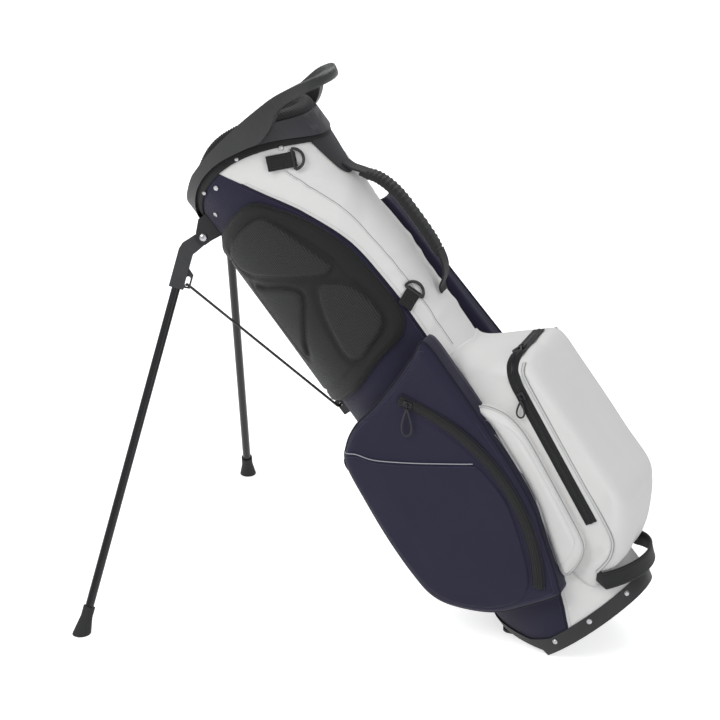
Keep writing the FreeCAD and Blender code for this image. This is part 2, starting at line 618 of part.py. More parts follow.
side_slider_up = zip_length - 12.0
side_slider_frame = run_frame.multiply(Placement(Vector(0, -track_thickness - slider_gap, side_slider_up), Rotation()))
feature("ball_zip_slider", slider_shape(), side_slider_frame)
top_slider_frame = top_frame.multiply(
    Placement(Vector(0, -30, track_thickness + 0.2 + slider_gap), Rotation(Vector(1, 0, 0), -90)))
feature("top_zip_slider", slider_shape(), top_slider_frame)
side_pull_frame = Placement(side_slider_frame.Base.add(Vector(0, -bridge_pin_height, 0)), pull_hang)
feature("ball_zip_pull", pull_shape(28), side_pull_frame)
top_pull_up = track_thickness + 0.2 + slider_gap + bridge_pin_height
top_pull_frame = top_frame.multiply(Placement(Vector(0, -30, top_pull_up), Rotation(Vector(1, 0, 0), -90)))
feature("top_zip_pull", pull_shape(28), top_pull_frame)

# ---------------------------------------------------------------- grip, straps and D-rings

grip_half, grip_thick = size("grip_width") / 2, size("grip_thickness")
GRIP_OUTER = [(137, 744), (156, 722), (166, 690), (168, 650), (167, 606), (163, 576)]


def ribbon(points, thickness, half_width, middle_y=0.0):
    """A strap seen edge-on from the side: a smooth line given thickness towards the bag."""
    outer = Part.BSplineCurve()
    outer.interpolate([Vector(x, middle_y - half_width, z) for x, z in points])
    count = 10
    low, high = outer.FirstParameter, outer.LastParameter
    inner_points = []
    for step in range(count + 1):
        place = low + (high - low) * step / count
        along = outer.tangent(place)[0]
        inward = Vector(along.z, 0, -along.x)
        if inward.x > 0:
            inward = inward.multiply(-1)
        inner_points.append(outer.value(place).add(inward.multiply(thickness)))
    inner = Part.BSplineCurve()
    inner.interpolate(inner_points)
    edges = [outer.toShape(), Part.LineSegment(outer.EndPoint, inner.EndPoint).toShape(), inner.toShape(),
             Part.LineSegment(inner.StartPoint, outer.StartPoint).toShape()]
    return Part.Face(Part.Wire(Part.__sortEdges__(edges))).extrude(Vector(0, 2 * half_width, 0))


feature("carry_grip", ribbon(GRIP_OUTER, grip_thick, grip_half))
webbing_half = 12.5
upper_web = ribbon([(121.5, 764), (128, 752), (138, 740)], 2.2, webbing_half).cut(trunk(0.3))
lower_web = ribbon([(160, 574), (150, 556), (134, 546), (126.5, 532)], 2.2, webbing_half).cut(trunk(0.3))
grip_solid = ribbon(GRIP_OUTER, grip_thick, grip_half)
upper_web = upper_web.cut(grip_solid).cut(patch)
lower_web = lower_web.cut(grip_solid)
feature("grip_webbing", Part.makeCompound([upper_web.Solids[0], lower_web.Solids[0]]))

strap_width, strap_thick = size("strap_width"), 3.0
strap_reach, strap_side, strap_root = 66.0, 84.0, 82.0
chord = strap_side
strap_radius = (chord ** 2 + strap_reach ** 2) / (2 * strap_reach)
strap_tilt = math.degrees(math.atan2(32, strap_reach))
strap_centre = strap_reach - strap_radius
ring = Part.makeCylinder(strap_radius, strap_width, Vector(strap_centre, 0, -strap_width / 2)).cut(
    Part.makeCylinder(strap_radius - strap_thick, strap_width, Vector(strap_centre, 0, -strap_width / 2)))
ring = ring.common(Part.makeBox(200, 200, strap_width, Vector(0, -100, -strap_width / 2)))
strap_frame = Placement(Vector(strap_root, 0, 62), Rotation(Vector(0, 1, 0), strap_tilt))
ring.Placement = strap_frame.multiply(ring.Placement)
strap = ring.cut(trunk(0.3)).cut(ball_pocket)
feature("trunk_strap", max(strap.Solids, key=lambda solid: solid.Volume))

ring_radius, ring_wire = size("ring_radius"), size("ring_wire")


def d_ring():
    """A D-ring lying in its own XZ plane: the straight bar along z at x = 0, the bow towards +x."""
    section = Part.Face(Part.Wire(Part.Circle(Vector(0, 0, -ring_radius), Vector(1, 0, 0), ring_wire).toShape()))
    bow = section.revolve(Vector(0, 0, 0), Vector(0, 1, 0), -180)
    return bow.fuse(Part.makeCylinder(ring_wire, 2 * ring_radius, Vector(0, 0, -ring_radius))).removeSplitter()


def surface_frame(x, z, side, lift, spin):
    """A frame on the trunk's side at (x, z): its y axis points into the bag, x turned by spin."""
    line = Part.LineSegment(Vector(x, side * 300, z), Vector(x, 0, z)).toShape()
    hit = trunk_outer.common(line)
    spot = min((v.Point for v in hit.Vertexes), key=lambda p: -abs(p.y))
    step = 4.0
    other = trunk_outer.common(Part.LineSegment(Vector(x + step, side * 300, z), Vector(x + step, 0, z)).toShape())
    beside = min((v.Point for v in other.Vertexes), key=lambda p: -abs(p.y))
    across = beside.sub(spot).normalize()
    up = Vector(0, 0, 1)
    inward = up.cross(across).normalize()
    if inward.y * side > 0:
        inward = inward.multiply(-1)
    turned = Rotation(inward, spin)
    across, up = turned.multVec(across), turned.multVec(up)
    return Placement(spot.sub(Vector(inward).multiply(lift)), Rotation(across, inward, across.cross(inward), "ZXY"))


ring_lift = 4.8
web_thick, web_half = 2.0, 11.5
for label, x, z, spin, web_length in (("upper", 88, 813, 25, 36.0), ("lower", 107, 557, -20, 24.0)):
    frame_here = surface_frame(x, z, -1, ring_lift, spin)
    feature(f"{label}_d_ring", d_ring(), frame_here)
    band = Part.makeBox(web_length, web_thick, 2 * web_half,
                        Vector(-web_length - 2.6, ring_lift - web_thick - 0.6, -web_half))
    loop = Part.makeCylinder(ring_wire + 0.1 + web_thick, 2 * web_half, Vector(0, 0, -web_half)).cut(
        Part.makeCylinder(ring_wire + 0.1, 2 * web_half, Vector(0, 0, -web_half)))
    feature(f"{label}_ring_tab", band.fuse(loop).removeSplitter(), frame_here)

# ---------------------------------------------------------------- legs

spread, splay = math.radians(size("leg_spread")), math.radians(size("leg_splay"))
pivot_depth, pivot_side, pivot_height = size("leg_pivot_depth"), size("leg_pivot_side"), size("leg_pivot_height")
yoke_thick, ear_thick, running_gap = size("yoke_thickness"), size("ear_thickness"), size("running_gap")
bolt_radius, bolt_fit = size("bolt_radius"), 0.05
leg_offset, tube_radius = size("leg_offset"), size("leg_tube_radius")
tab_drop, tab_offset, tab_slot = size("tab_drop"), size("tab_offset"), size("tab_slot")
wire_radius = size("wire_radius")
slot_radius = wire_radius + 1.4
tab_thick = 5.0
yoke_length = size("yoke_length")
tube_top = -48.0


def leg_frames(side):
    """The pivot's upright frame (x outboard, y along the bolt) and the opened leg's own frame."""
    pivot = Vector(-pivot_depth, side * pivot_side, pivot_height)
    out = Vector(-math.cos(splay), side * math.sin(splay), 0)
    up = Vector(0, 0, 1)
    upright = Placement(pivot, Rotation(out, up.cross(out), up, "ZXY"))
    leg_up = Vector(out).multiply(-math.sin(spread)).add(Vector(up).multiply(math.cos(spread)))
    leg_out = Vector(out).multiply(math.cos(spread)).add(Vector(up).multiply(math.sin(spread)))
    return upright, Placement(pivot, Rotation(leg_out, leg_up.cross(leg_out), leg_up, "ZXY"))


def foot_drop(side):
    """Pivot to floor along the opened leg's tube."""
    leg = LEANING.multiply(leg_frames(side)[1])
    start = leg.multVec(Vector(leg_offset, 0, 0))
    along = leg.Rotation.multVec(Vector(0, 0, -1))
    return -start.z / along.z


leg_reach = foot_drop(-1)
foot_height, foot_radius = 38.0, 9.0
for side, label in ((-1, "near"), (1, "far")):
    upright, opened = leg_frames(side)
    ear_half = yoke_thick / 2 + running_gap + ear_thick

    # Bracket: a moulded block on the trunk under the collar, forked for the yoke.
    bracket = body(f"{label}_leg_bracket", upright)
    outline = sketch(bracket, "XZ_Plane", f"{label}_bracket_outline")
    add_polygon(outline, [(-40, 26), (-10, 26), (4, 13), (11, 5), (11, -6), (5, -11), (-6, -11), (-40, -16)])
    pad(bracket, outline, 2 * ear_half, f"{label}_bracket_block", both_ways=True)
    fork = sketch(bracket, "XZ_Plane", f"{label}_bracket_fork")
    add_polygon(fork, [(-11.5, -40), (-11.5, 11.5), (-6, 17), (40, 17), (40, -40)])
    pocket(bracket, fork, f"{label}_bracket_slot", yoke_thick + 2 * running_gap)
    bore = sketch(bracket, "XZ_Plane", f"{label}_bracket_bore")
    add_circle(bore, 0, 0, bolt_radius, "bolt_radius")
    pocket(bracket, bore, f"{label}_bracket_hole")
    doc.recompute()
    nodes.remove(bracket)
    whole = bracket.Shape.copy()
    whole.Placement = upright
    seated = whole.cut(trunk(0.0)).cut(skirt).cut(collar)
    bracket.Label = f"{label}_bracket_blank"
    feature(f"{label}_leg_bracket", max(seated.Solids, key=lambda solid: solid.Volume))

    # Bolt: a headed pin through both ears.
    head_height, head_radius = 2.4, 6.5
    bolt = Part.makeCylinder(bolt_radius, 2 * ear_half, Vector(0, -ear_half, 0), Vector(0, 1, 0))
    for end in (-1, 1):
        bolt = bolt.fuse(Part.makeCone(head_radius, head_radius - 1.5, head_height, Vector(0, end * ear_half, 0),
                                       Vector(0, end, 0)))
    feature(f"{label}_pivot_bolt", bolt.removeSplitter(), upright)

    # Yoke: a cranked moulding from the pivot to the tube, with the tab for the wire.
    yoke = body(f"{label}_leg_yoke", opened)
    outline = sketch(yoke, "XZ_Plane", f"{label}_yoke_outline")
    add_polygon(outline, [(-4, 8), (4, 9.5), (10, 4), (28, -16), (31, -26), (31, -yoke_length), (9, -yoke_length),
                          (9, -yoke_length + 3), (0, -tab_drop - 5), (0, -tab_drop + 16), (9, -tab_drop + 24),
                          (9, -30), (3, -22), (-6, -8), (-8, 0)])
    pad(yoke, outline, yoke_thick, f"{label}_yoke_block", both_ways=True, cell="yoke_thickness")
    doc.recompute()
    blank = yoke.Shape.copy()
    blank.Placement = Placement()
    nodes.remove(yoke)
    yoke.Label = f"{label}_yoke_blank"
    for cheek in (-1, 1):
        keep = tab_thick / 2
        start = keep if cheek > 0 else -keep - 20
        blank = blank.cut(Part.makeBox(12.5, 20, 28 + yoke_length - tab_drop, Vector(-4, start, -yoke_length - 2)))
    slot = Part.makeCylinder(slot_radius, 60, Vector(tab_offset, -30, -tab_drop), Vector(0, 1, 0))
    slot = slot.fuse(Part.makeCylinder(slot_radius, 60, Vector(tab_offset, -30, -tab_drop + tab_slot), Vector(0, 1, 0)))
    slot = slot.fuse(Part.makeBox(2 * slot_radius, 60, tab_slot, Vector(tab_offset - slot_radius, -30, -tab_drop)))
    eye = Part.makeCylinder(bolt_radius + bolt_fit, 60, Vector(0, -30, 0), Vector(0, 1, 0))
    socket = Part.makeCylinder(tube_radius, 100, Vector(leg_offset, 0, tube_top - 100))
    shaped = blank.cut(slot).cut(eye).cut(socket).removeSplitter()
    feature(f"{label}_leg_yoke", shaped, opened)

    # Tube and rubber foot; the foot's sole lies flat on the floor.
    tube = body(f"{label}_leg_tube", opened.multiply(Placement(Vector(leg_offset, 0, 0), Rotation())))
    ring_sketch = sketch(tube, "XY_Plane", f"{label}_tube_section", tube_top)
    add_circle(ring_sketch, 0, 0, tube_radius, "leg_tube_radius")
    add_circle(ring_sketch, 0, 0, tube_radius - size("leg_tube_wall"))
    tube_pad = pad(tube, ring_sketch, leg_reach - 14 + tube_top, f"{label}_tube_wall")
    tube_pad.Reversed = True

    sole = Part.makeBox(400, 400, 200, Vector(-200, -200, -200))
    leaning_leg = LEANING.multiply(opened).multiply(Placement(Vector(leg_offset, 0, 0), Rotation()))
    sole.Placement = leaning_leg.inverse().multiply(Placement(leaning_leg.multVec(Vector(0, 0, -leg_reach)), Rotation()))
    foot = Part.makeCone(foot_radius + 6.5, foot_radius, foot_height, Vector(0, 0, -leg_reach - 12))
    foot = foot.fuse(Part.makeCylinder(foot_radius, 16, Vector(0, 0, -leg_reach - 12 + foot_height)))
    foot = foot.cut(sole).cut(Part.makeCylinder(tube_radius, 200, Vector(0, 0, -leg_reach + 14)))
    feature(f"{label}_foot", foot.removeSplitter(), opened.multiply(Placement(Vector(leg_offset, 0, 0), Rotation())))

# ---------------------------------------------------------------- spreader wires, slider and push rod

slider_height, slider_depth, wire_end_side = size("slider_height"), size("slider_depth"), size("wire_end_side")
rod_radius, rod_depth = size("rod_radius"), size("rod_depth")


def bent_wire(points, radius, bend):
    """A round wire: straight runs joined by tangent arcs of one bend radius."""
    edges, start = [], points[0]
    for before, corner, after in zip(points, points[1:], points[2:]):
        back = before.sub(corner).normalize()
        on = after.sub(corner).normalize()
        half = back.getAngle(on) / 2
        cut = bend / math.tan(half)
        first = corner.add(Vector(back).multiply(cut))
        last = corner.add(Vector(on).multiply(cut))
        inward = Vector(back).add(on).normalize()
        centre = corner.add(Vector(inward).multiply(bend / math.sin(half)))
        middle = centre.sub(Vector(inward).multiply(bend))
        edges += [Part.LineSegment(start, first).toShape(), Part.Arc(first, middle, last).toShape()]
        start = last
    edges.append(Part.LineSegment(start, points[-1]).toShape())
    path = Part.Wire(edges)
    way = points[1].sub(points[0])
    section = Part.Wire(Part.Circle(points[0], way, radius).toShape())
    return path.makePipeShell([section], True, False)


wire_bend = 4.0
hook_out = tab_thick / 2 + 2.6
for side, label in ((-1, "near"), (1, "far")):
    opened = leg_frames(side)[1]
    inner = side  # the tab's face that looks at the bag's middle
    tip = opened.multVec(Vector(tab_offset, -inner * (hook_out + 1.5), -tab_drop))
    corner = opened.multVec(Vector(tab_offset, inner * (hook_out + wire_radius), -tab_drop))
    low = Vector(-slider_depth, side * wire_end_side, slider_height)
    low_tip = Vector(-slider_depth, side * (wire_end_side - 8.5), slider_height)
    feature(f"{label}_spreader_wire", bent_wire([tip, corner, low, low_tip], wire_radius, wire_bend))

# Sliding block: holds the rod's top and the two wire ends.
block_width, block_depth, block_length = 5.0, 15.0, 26.0
block = Part.makeBox(block_depth, block_width, block_length,
                     Vector(-slider_depth - 4.5, -block_width / 2, slider_height - 17))
block = block.makeFillet(1.5, [e for e in block.Edges if abs(e.BoundBox.YLength - block_width) < 0.01])
rod_bore = Part.makeCylinder(rod_radius, block_length, Vector(-rod_depth, 0, slider_height - 17 - block_length + 16))
eye_radius = wire_radius + 1.2
eye = Part.makeCylinder(eye_radius, 2 * block_width, Vector(-slider_depth, -block_width, slider_height), Vector(0, 1, 0))
feature("sliding_block", block.cut(rod_bore).cut(eye))

rod_foot_depth, rod_foot_height = size("rod_foot_depth"), size("rod_foot_height")
rod_points = [Vector(-rod_depth, 0, slider_height - 1), Vector(-rod_depth, 0, rod_foot_height + 30),
              Vector(-rod_foot_depth, 0, rod_foot_height + 8), Vector(-rod_foot_depth, 0, rod_foot_height - 3)]
rod = bent_wire(rod_points, rod_radius, 5.0)
cross_radius, cross_half = 2.0, 9.5
rod = rod.fuse(Part.makeCylinder(cross_radius, 2 * cross_half, Vector(-rod_foot_depth, -cross_half, rod_foot_height),
                                 Vector(0, 1, 0)))
feature("push_rod", rod.removeSplitter())

guide_fit = 0.08
guides = []
for height in (150.0, 380.0):
    guide = Part.makeBox(14, 16, 18, Vector(-rod_depth - 6, -8, height))
    guide = guide.makeFillet(2.5, [e for e in guide.Edges if abs(e.BoundBox.ZLength - 18) < 0.01
                                   and e.BoundBox.XMin < -rod_depth])
    guide = guide.cut(Part.makeCylinder(rod_radius + guide_fit, 60, Vector(-rod_depth, 0, height - 10)))
    guides.append(guide.cut(trunk(0.05)).Solids[0])
feature("rod_guides", Part.makeCompound(guides))

# ---------------------------------------------------------------- ground plate

plate_start, plate_length = size("plate_start"), size("plate_length")
plate_width, plate_thick = size("plate_width"), size("plate_thickness")
turn = size("lean_angle")
travel_angle = math.radians(turn)
# The plate's own frame: x away from the heel along the floor, z up from the floor, y across.
floor_frame = Placement(Vector(-heel, 0, 0), Rotation(
    Vector(-math.cos(lean), 0, math.sin(lean)), Vector(0, -1, 0), Vector(math.sin(lean), 0, math.cos(lean)), "ZXY"))


def wire_travel():
    """How far the block moves down the bag as the opened leg folds."""
    def hole(angle):
        out, up = Vector(-math.cos(splay), math.sin(splay), 0), Vector(0, 0, 1)
        spot = Vector(-pivot_depth, pivot_side, pivot_height)
        spot = spot.add(Vector(out).multiply(tab_drop * math.sin(angle) + tab_offset * math.cos(angle)))
        return spot.add(Vector(up).multiply(tab_offset * math.sin(angle) - tab_drop * math.cos(angle)))

    low = Vector(-slider_depth, wire_end_side, slider_height)
    length = hole(spread).sub(low).Length
    folded = hole(0)
    flat = math.hypot(folded.x - low.x, folded.y - low.y)
    return slider_height - (folded.z - math.sqrt(length ** 2 - flat ** 2))


rod_travel = wire_travel()


def foot_on_plate(share):
    """The rod's cross pin seen from the plate when the stand is folded by this share."""
    dx, dz = -rod_foot_depth - pin_x, rod_foot_height - rod_travel * share - pin_z
    tilt = travel_angle * (1 - share)
    return (pin_along - dx * math.cos(tilt) + dz * math.sin(tilt),
            pin_up + dz * math.cos(tilt) + dx * math.sin(tilt))


slot_points = [Vector(x, 0, z) for x, z in (foot_on_plate(0), foot_on_plate(0.5), foot_on_plate(1))]
slot_half = cross_radius + 0.9
slot_arc = Part.Arc(*slot_points).toShape()
arc_centre, arc_radius = slot_arc.Curve.Center, slot_arc.Curve.Radius


def arc_slot(half, low, high):
    """A slot of round ends along the pin's path, cut across the plate."""
    axis = Vector(0, 1, 0)
    band_solid = Part.makeCylinder(arc_radius + half, high - low, Vector(arc_centre.x, low, arc_centre.z), axis).cut(
        Part.makeCylinder(max(arc_radius - half, 0.01), high - low, Vector(arc_centre.x, low, arc_centre.z), axis))
    first, last = slot_points[0], slot_points[2]
    mid = slot_points[1]
    wedge = [arc_centre, first.sub(arc_centre).multiply(9).add(arc_centre), mid.sub(arc_centre).multiply(12).add(arc_centre),
             last.sub(arc_centre).multiply(9).add(arc_centre)]
    wedge = [Vector(p.x, low, p.z) for p in wedge]
    sector = Part.Face(Part.makePolygon(wedge + wedge[:1])).extrude(Vector(0, high - low, 0))
    result = band_solid.common(sector)
    for end in (first, last):
        result = result.fuse(Part.makeCylinder(half, high - low, Vector(end.x, low, end.z), axis))
    return result


ear_low, ear_high = 5.0, 8.5
plate = Part.makeBox(plate_length, plate_width, plate_thick, Vector(plate_start, -plate_width / 2, 0))
plate = plate.makeFillet(12.0, [e for e in plate.Edges if abs(e.BoundBox.ZLength - plate_thick) < 0.01
                                and e.BoundBox.XMin > plate_start + 1])
plate = plate.cut(Part.makeBox(12.0, 2 * lug_half + 2, 20, Vector(plate_start - 0.8, -lug_half - 1, -5)))
for side in (-1, 1):
    low = side * (lug_half + 1) if side > 0 else -plate_width / 2 + 2
    width = plate_width / 2 - 2 - lug_half - 1
    knuckle = Part.makeCylinder(knuckle_radius, width, Vector(pin_along, low, pin_up), Vector(0, 1, 0))
    plate = plate.fuse(knuckle)
plate = plate.cut(Part.makeCylinder(hinge_pin_radius + hinge_fit, 200, Vector(pin_along, -100, pin_up), Vector(0, 1, 0)))
ear_block = arc_slot(slot_half + 3.5, 0, ear_high - ear_low)
span_low, span_high = slot_points[2].x - 6, slot_points[0].x + 6
ear_block = ear_block.fuse(Part.makeBox(span_high - span_low - 4, ear_high - ear_low, slot_points[0].z,
                                        Vector(span_low + 2, 0, 1)))
ear_block = ear_block.common(Part.makeBox(200, 50, 100, Vector(0, -10, 1)))
for low in (ear_low, -ear_high):
    plate = plate.fuse(ear_block.translated(Vector(0, low, 0)))
plate = plate.cut(arc_slot(slot_half, -20, 20).common(Part.makeBox(200, 40, 60, Vector(0, -20, plate_thick - 1))))
rod_room = Part.makeBox(span_high - span_low + 4, 2 * ear_low, 20, Vector(span_low - 2, -ear_low, plate_thick - 2.8))
plate = plate.cut(rod_room)
feature("ground_plate", plate.removeSplitter(), floor_frame)
pin_half = plate_width / 2 - 2
feature("plate_hinge_pin", Part.makeCylinder(hinge_pin_radius, 2 * pin_half, Vector(pin_x, -pin_half, pin_z),
                                              Vector(0, 1, 0)))

# ---------------------------------------------------------------- write the sub-parts

doc.recompute()
for item in doc.Objects:
    if "Invalid" in item.State or "Error" in item.State:
        raise RuntimeError(f"{item.Name} failed: {item.State}")
for item in nodes:
    if item.Shape.isNull() or not item.Shape.isValid() or not item.Shape.Solids:
        raise RuntimeError(f"{item.Label} has no valid solid")
for item in nodes:
    item.Shape.exportStep(f"parts/{item.Label}.step")
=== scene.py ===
import math

import bmesh
import bpy
import numpy as np
from mathutils import Matrix, Vector


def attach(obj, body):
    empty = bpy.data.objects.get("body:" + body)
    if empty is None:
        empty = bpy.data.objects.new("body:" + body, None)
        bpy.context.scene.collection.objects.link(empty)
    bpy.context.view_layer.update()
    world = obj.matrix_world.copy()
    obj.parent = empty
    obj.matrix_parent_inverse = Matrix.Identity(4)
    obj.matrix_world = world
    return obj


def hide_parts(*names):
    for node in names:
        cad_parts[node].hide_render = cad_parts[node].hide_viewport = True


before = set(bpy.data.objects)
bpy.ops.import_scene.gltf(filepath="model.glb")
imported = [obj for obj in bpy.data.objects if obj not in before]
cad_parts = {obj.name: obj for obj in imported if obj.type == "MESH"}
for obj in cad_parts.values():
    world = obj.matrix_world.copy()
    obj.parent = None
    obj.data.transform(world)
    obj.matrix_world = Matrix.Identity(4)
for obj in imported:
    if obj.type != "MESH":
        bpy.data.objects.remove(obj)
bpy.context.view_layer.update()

bpy.context.scene.view_settings.view_transform = "Standard"

# ---------------------------------------------------------------- studio
# A white floor, one large soft lamp at the upper left and two weaker fills.
# The bag leans back on its legs, and is seen a little from above, from its near side.
LEAN = math.radians(40)
HEEL, PLATE_MIDDLE = 51.0, 47.0


def bag(along_spine, across, up_bag):
    """A point of the bag's own upright frame, in mm, as a place on the floor, in metres."""
    x, z = along_spine + HEEL, up_bag
    return Vector((
        (x * math.cos(LEAN) - z * math.sin(LEAN) + PLATE_MIDDLE) / 1000,
        across / 1000,
        (x * math.sin(LEAN) + z * math.cos(LEAN)) / 1000,
    ))


AZIMUTH, ELEVATION, DISTANCE = math.radians(22.72), math.radians(23.58), 3.5
target = Vector((-0.29127, 0.0, 0.38656))
away = Vector((math.sin(AZIMUTH) * math.cos(ELEVATION), -math.cos(AZIMUTH) * math.cos(ELEVATION),
               math.sin(ELEVATION)))
lens = bpy.data.cameras.new("camera")
lens.lens, lens.sensor_width = 116.74, 36.0
camera = bpy.data.objects.new("camera", lens)
camera.location = target + away * DISTANCE
camera.rotation_euler = (target - camera.location).to_track_quat("-Z", "Y").to_euler()
bpy.context.collection.objects.link(camera)
bpy.context.scene.camera = camera


def soft_lamp(name, place, width, power):
    lamp = bpy.data.lights.new(name, "AREA")
    lamp.shape, lamp.size, lamp.energy = "DISK", width, power
    light = bpy.data.objects.new(name, lamp)
    light.location = place
    light.rotation_euler = (target - Vector(place)).to_track_quat("-Z", "Y").to_euler()
    bpy.context.collection.objects.link(light)


soft_lamp("key_lamp", (-1.6, -2.6, 3.0), 2.2, 62)
soft_lamp("fill_lamp", (2.6, -1.8, 1.6), 2.4, 26)
soft_lamp("back_lamp", (-0.6, 2.8, 2.6), 2.0, 30)


def new_material(name):
    """A material with its node tree and its Principled shader."""
    made = bpy.data.materials.new(name)
    made.use_nodes = True
    return made, made.node_tree, made.node_tree.nodes["Principled BSDF"]


room = bpy.data.worlds.new("studio")
bpy.context.scene.world = room
room.use_nodes = True
sky, sky_nodes = room.node_tree, room.node_tree.nodes
backdrop, studio_glow = sky_nodes["Background"], sky_nodes.new("ShaderNodeBackground")
backdrop.inputs["Color"].default_value = (0.86, 0.88, 0.9, 1)
backdrop.inputs["Strength"].default_value = 0.62
studio_glow.inputs["Color"].default_value = (1, 1, 1, 1)
sky_path, sky_mix = sky_nodes.new("ShaderNodeLightPath"), sky_nodes.new("ShaderNodeMixShader")
sky.links.new(sky_path.outputs["Is Camera Ray"], sky_mix.inputs["Fac"])
sky.links.new(backdrop.outputs["Background"], sky_mix.inputs[1])
sky.links.new(studio_glow.outputs["Background"], sky_mix.inputs[2])
sky.links.new(sky_mix.outputs["Shader"], sky_nodes["World Output"].inputs["Surface"])

bpy.ops.mesh.primitive_plane_add(size=14, location=(0, 0, -0.0006))
floor = bpy.context.object
floor.name = "studio_floor"
floor_material, floor_tree, floor_shader = new_material("studio_floor")
floor_shader.inputs["Base Color"].default_value = (0.86, 0.86, 0.86, 1)
floor_shader.inputs["Roughness"].default_value = 0.9
floor_shader.inputs["Specular IOR Level"].default_value = 0.0
floor_glow = floor_tree.nodes.new("ShaderNodeEmission")
floor_path, floor_any = floor_tree.nodes.new("ShaderNodeLightPath"), floor_tree.nodes.new("ShaderNodeMath")
floor_sum = floor_tree.nodes.new("ShaderNodeAddShader")
floor_any.operation = "MAXIMUM"
floor_level = floor_tree.nodes.new("ShaderNodeMath")
floor_level.operation = "MULTIPLY"
floor_level.inputs[1].default_value = 0.62
floor_tree.links.new(floor_path.outputs["Is Camera Ray"], floor_any.inputs[0])
floor_tree.links.new(floor_path.outputs["Is Glossy Ray"], floor_any.inputs[1])
floor_tree.links.new(floor_any.outputs[0], floor_level.inputs[0])
floor_tree.links.new(floor_level.outputs[0], floor_glow.inputs["Strength"])
floor_tree.links.new(floor_shader.outputs["BSDF"], floor_sum.inputs[0])
floor_tree.links.new(floor_glow.outputs["Emission"], floor_sum.inputs[1])
floor_tree.links.new(floor_sum.outputs["Shader"], floor_tree.nodes["Material Output"].inputs["Surface"])
floor.data.materials.append(floor_material)

# ---------------------------------------------------------------- base tray
# Injection moulded cup of matt black plastic that the fabric trunk stands in.
# Its bevelled heel carries the ground plate, and round-headed rivets hold the cloth to it.


def linear(red, green, blue):
    """A paint-chart colour of 0 to 255 as the light values that a shader takes."""
    light = []
    for value in (red, green, blue):
        share = value / 255
        light.append(((share + 0.055) / 1.055) ** 2.4 if value > 10 else share / 12.92)
    return tuple(light) + (1,)


def node_group(name, inputs, outputs):
    """An empty shader group with named sockets: its tree, input node and output node."""
    tree = bpy.data.node_groups.new(name, "ShaderNodeTree")
    for label, kind, value in inputs:
        socket = tree.interface.new_socket(label, in_out="INPUT", socket_type=kind)
        if value is not None:
            socket.default_value = value
    for label, kind in outputs:
        tree.interface.new_socket(label, in_out="OUTPUT", socket_type=kind)
    return tree, tree.nodes.new("NodeGroupInput"), tree.nodes.new("NodeGroupOutput")


def maths(tree, operation, first, second=None):
    """A Math node on two sockets or numbers, as its output."""
    node = tree.nodes.new("ShaderNodeMath")
    node.operation = operation
    for socket, value in zip(node.inputs, (first, second)):
        if isinstance(value, (int, float)):
            socket.default_value = value
        elif value is not None:
            tree.links.new(value, socket)
    return node.outputs[0]


def noise(tree, place, scale, detail=3.0):
    node = tree.nodes.new("ShaderNodeTexNoise")
    node.inputs["Scale"].default_value = scale
    node.inputs["Detail"].default_value = detail
    tree.links.new(place, node.inputs["Vector"])
    return node.outputs["Fac"]


def shade(tree, colour, factor):
    """A colour made lighter or darker by a factor that changes over the surface."""
    node = tree.nodes.new("ShaderNodeMix")
    node.data_type, node.blend_type = "RGBA", "MULTIPLY"
    node.inputs["Factor"].default_value = 1.0
    tree.links.new(colour, node.inputs[6])
    tree.links.new(factor, node.inputs[7])
    return node.outputs[2]


# Moulded plastic: spark-eroded grain, faint flow clouds and scuffs from use.
grain_tree, grain_in, grain_out = node_group(
    "moulded_grain",
    [("Place", "NodeSocketVector", None), ("Colour", "NodeSocketColor", (0.05, 0.05, 0.05, 1)),
     ("Scuffs", "NodeSocketFloat", 0.3), ("Shine", "NodeSocketFloat", 0.5)],
    [("Color", "NodeSocketColor"), ("Roughness", "NodeSocketFloat"), ("Height", "NodeSocketFloat")])
grain_place = grain_in.outputs["Place"]
clouds, pits = noise(grain_tree, grain_place, 14.0), noise(grain_tree, grain_place, 1500.0, 2.0)
scratches = grain_tree.nodes.new("ShaderNodeMapping")
scratches.inputs["Scale"].default_value = (60, 400, 40)
grain_tree.links.new(grain_place, scratches.inputs["Vector"])
scratch = maths(grain_tree, "POWER", noise(grain_tree, scratches.outputs["Vector"], 1.0, 5.0), 4.0)
scuffed = maths(grain_tree, "MULTIPLY", scratch, grain_in.outputs["Scuffs"])
tone = maths(grain_tree, "ADD", maths(grain_tree, "MULTIPLY", clouds, 0.3), 0.85)
tone = maths(grain_tree, "ADD", tone, maths(grain_tree, "MULTIPLY", scuffed, 4.0))
grain_tree.links.new(shade(grain_tree, grain_in.outputs["Colour"], tone), grain_out.inputs["Color"])
rough = maths(grain_tree, "ADD", maths(grain_tree, "MULTIPLY", clouds, 0.12), grain_in.outputs["Shine"])
grain_tree.links.new(maths(grain_tree, "ADD", rough, scuffed), grain_out.inputs["Roughness"])
grain_tree.links.new(pits, grain_out.inputs["Height"])


def group_in(tree, group, values, place):
    """Places a shader group in a material and sets its sockets."""
    node = tree.nodes.new("ShaderNodeGroup")
    node.node_tree = group
    for label, value in values.items():
        node.inputs[label].default_value = value
    tree.links.new(place, node.inputs["Place"])
    return node


def surface_place(tree, kind="Object"):
    return tree.nodes.new("ShaderNodeTexCoord").outputs[kind]


def bump(tree, shader, height, depth):
    node = tree.nodes.new("ShaderNodeBump")
    node.inputs["Strength"].default_value = 1.0
    node.inputs["Distance"].default_value = depth
    tree.links.new(height, node.inputs["Height"])
    tree.links.new(node.outputs["Normal"], shader.inputs["Normal"])


